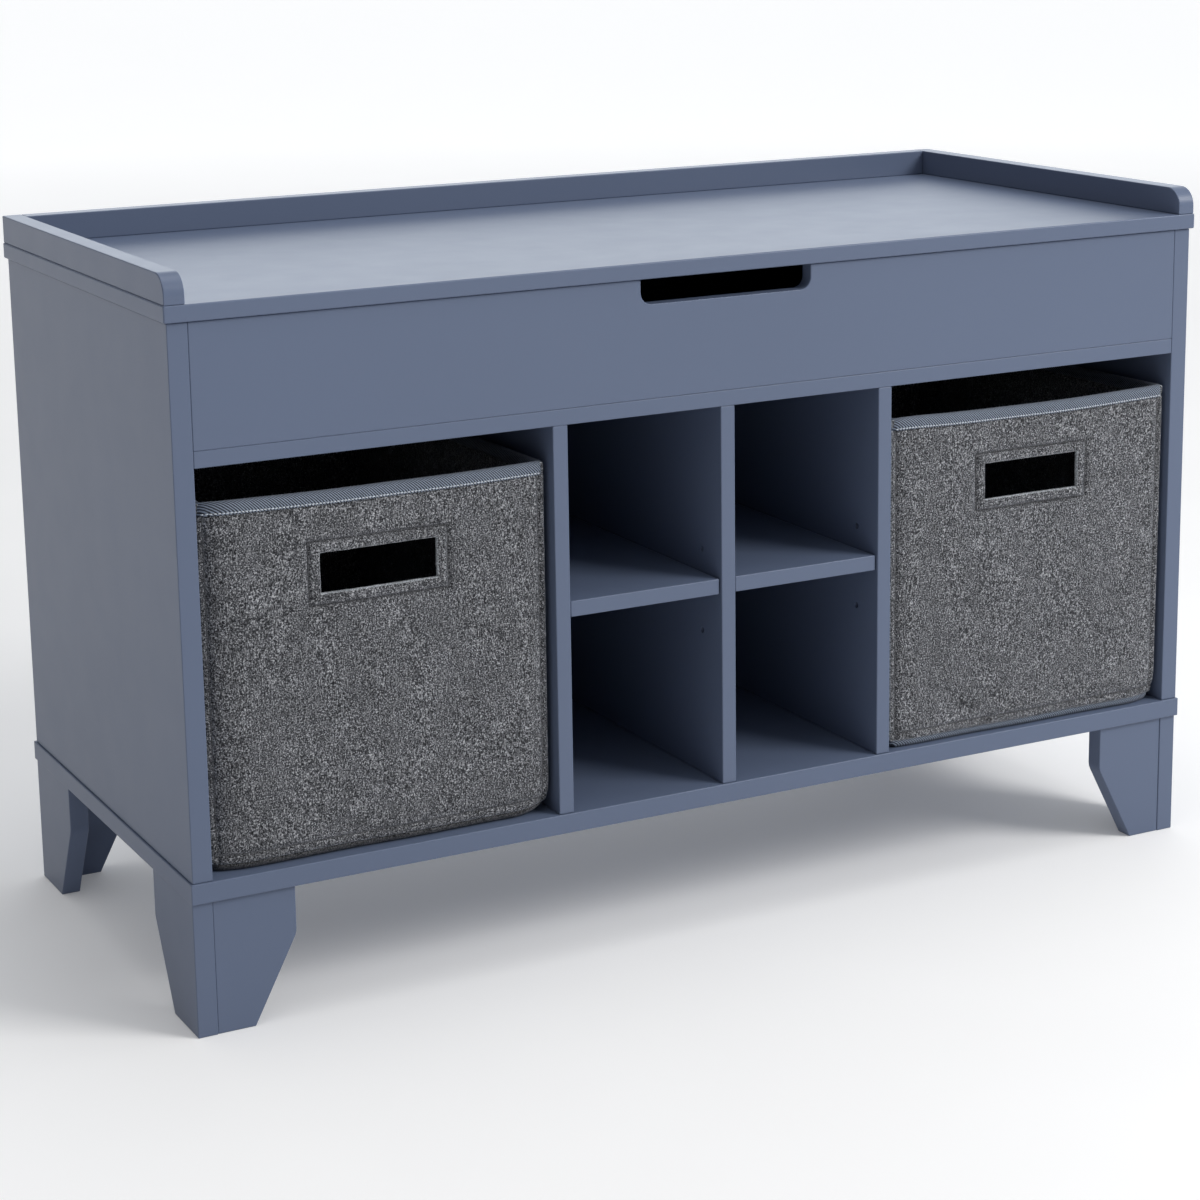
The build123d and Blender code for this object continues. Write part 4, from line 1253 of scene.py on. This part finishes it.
@dataclass(frozen=True)
class Studio:
    """The pale floor, the soft lights and the camera."""

    floor_radius: float = 40.0
    dim_side: Colour = (0.09, 0.068, 0.062)
    walls: tuple[Wall, ...] = (
        Wall((1.0, 0.0, 0.0), (-0.7, 0.3), (0.25, 0.27, 0.30)),
        Wall((0.50, 0.86, 0.10), (0.72, 0.94), (1.60, 1.69, 1.78)),
        Wall((0.0, 0.0, 1.0), (0.25, 0.80), (0.62, 0.63, 0.64)),
    )
    azimuth: float = 27.7
    elevation: float = 12.0
    roll: float = -0.85
    camera_place: tuple[float, float, float] = (-1.023, -1.932, 0.806)
    lens: float = 83.0
    shift: float = -0.125
    boxes: tuple[Softbox, ...] = (
        Softbox("key", (2.3, -2.6, 2.6), (0.0, 0.0, 0.25), 1.6, 110.0, (1.0, 0.985, 0.96)),
        Softbox("overhead", (0.2, -0.2, 3.4), (0.0, 0.0, 0.5), 2.0, 26.0),
    )

    def floor(self) -> None:
        """Lays the floor."""
        sides = 96
        turns = np.linspace(0, 2 * math.pi, sides, endpoint=False)
        rim = np.column_stack([np.cos(turns), np.sin(turns), np.zeros(sides)]) * self.floor_radius
        new_piece("studio_floor", rim, [tuple(range(sides))], StudioFloor().make())

    def world(self) -> None:
        """Fills the room with even light."""
        world = bpy.data.worlds.new("studio")
        bpy.context.scene.world = world
        world.use_nodes = True
        g = Nodes(world.node_tree)
        towards = g.add("TexCoord").outputs["Generated"]
        mixed = self.dim_side
        for wall in self.walls:
            vectors = {0: towards, 1: wall.towards}
            facing = g.add("VectorMath", vectors, operation="DOT_PRODUCT").outputs["Value"]
            low, high = wall.fades
            fields = {"Value": facing, "From Min": low, "From Max": high}
            share = g.add("MapRange", fields, interpolation_type="SMOOTHSTEP").outputs[0]
            mixed = g.blend(share, mixed, wall.colour)
        g.feed(g.tree.nodes["Background"].inputs[0], mixed)

    def camera(self) -> None:
        """Stands the camera where the bench fills the frame."""
        data = bpy.data.cameras.new("camera")
        data.lens = self.lens
        data.sensor_width = 36.0
        data.shift_y = self.shift
        data.clip_end = 200.0
        camera = bpy.data.objects.new("camera", data)
        azimuth, elevation = math.radians(self.azimuth), math.radians(self.elevation)
        turn = Matrix.Rotation(-azimuth, 4, "Z") @ Matrix.Rotation(math.pi / 2 - elevation, 4, "X")
        turn = turn @ Matrix.Rotation(math.radians(self.roll), 4, "Z")
        camera.matrix_world = Matrix.Translation(self.camera_place) @ turn
        bpy.context.scene.collection.objects.link(camera)
        bpy.context.scene.camera = camera

    def build(self) -> None:
        """Builds the studio."""
        self.floor()
        self.world()
        for box in self.boxes:
            box.light()
        self.camera()
        bpy.context.scene.view_settings.view_transform = "Standard"
        LOG.info("studio: %d lights", len(self.boxes))


def main() -> None:
    """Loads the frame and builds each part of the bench."""
    logging.basicConfig(level=logging.INFO, format="%(name)s: %(message)s")
    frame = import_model()
    felt = PressedFelt().make()
    tape = TwillTape().make()
    thread = SewingThread().make()
    dark_thread = SewingThread("seam_thread", (0.09, 0.094, 0.104)).make()
    # A lighter copy of the felt for the cut edges: a painted highlight.
    edge_highlight_felt = PressedFelt(
        "edge_highlight_felt", dark=(0.10, 0.105, 0.11), middle=(0.26, 0.28, 0.30), light=(0.50, 0.53, 0.56)
    ).make()
    shaded_foot_felt = PressedFelt(
        "shaded_foot_felt", dark=grey(0.008), middle=(0.04, 0.04, 0.042), light=(0.16, 0.16, 0.165)
    ).make()
    board = GreyBoard().make()
    slumps = {
        Side.LEFT: Slump(),
        Side.RIGHT: Slump(
            crown=1.6 * MM,
            rim_sag=3.0 * MM,
            corner_roll=3.0 * MM,
            heel_lift=0.5 * MM,
            toe_roll=1.5 * MM,
            wave_phase=1.7,
        ),
    }
    # The left basket's piping is a darker copy of the felt: painted shade where its foot tucks under. The
    # right basket's piping is the tape.
    feet = {Side.LEFT: shaded_foot_felt, Side.RIGHT: tape}
    for side, slump in slumps.items():
        FeltBasket(side, slump, felt, edge_highlight_felt, tape, feet[side], thread, dark_thread, board).build()
    slots = {row["node"]: row["material_slot"] for row in frame["record"]["subparts"]}
    hardboard = SatinPaint("painted_hardboard", roughness=0.5, peel_depth=0.00009).make()
    paint, beech, zinc = SatinPaint().make(), Beech().make(), ZincPlate().make()
    Dresser(frame["nodes"], paint, hardboard, beech, zinc, board, slots).dress()
    Studio().build()


if __name__ == "__main__":
    main()
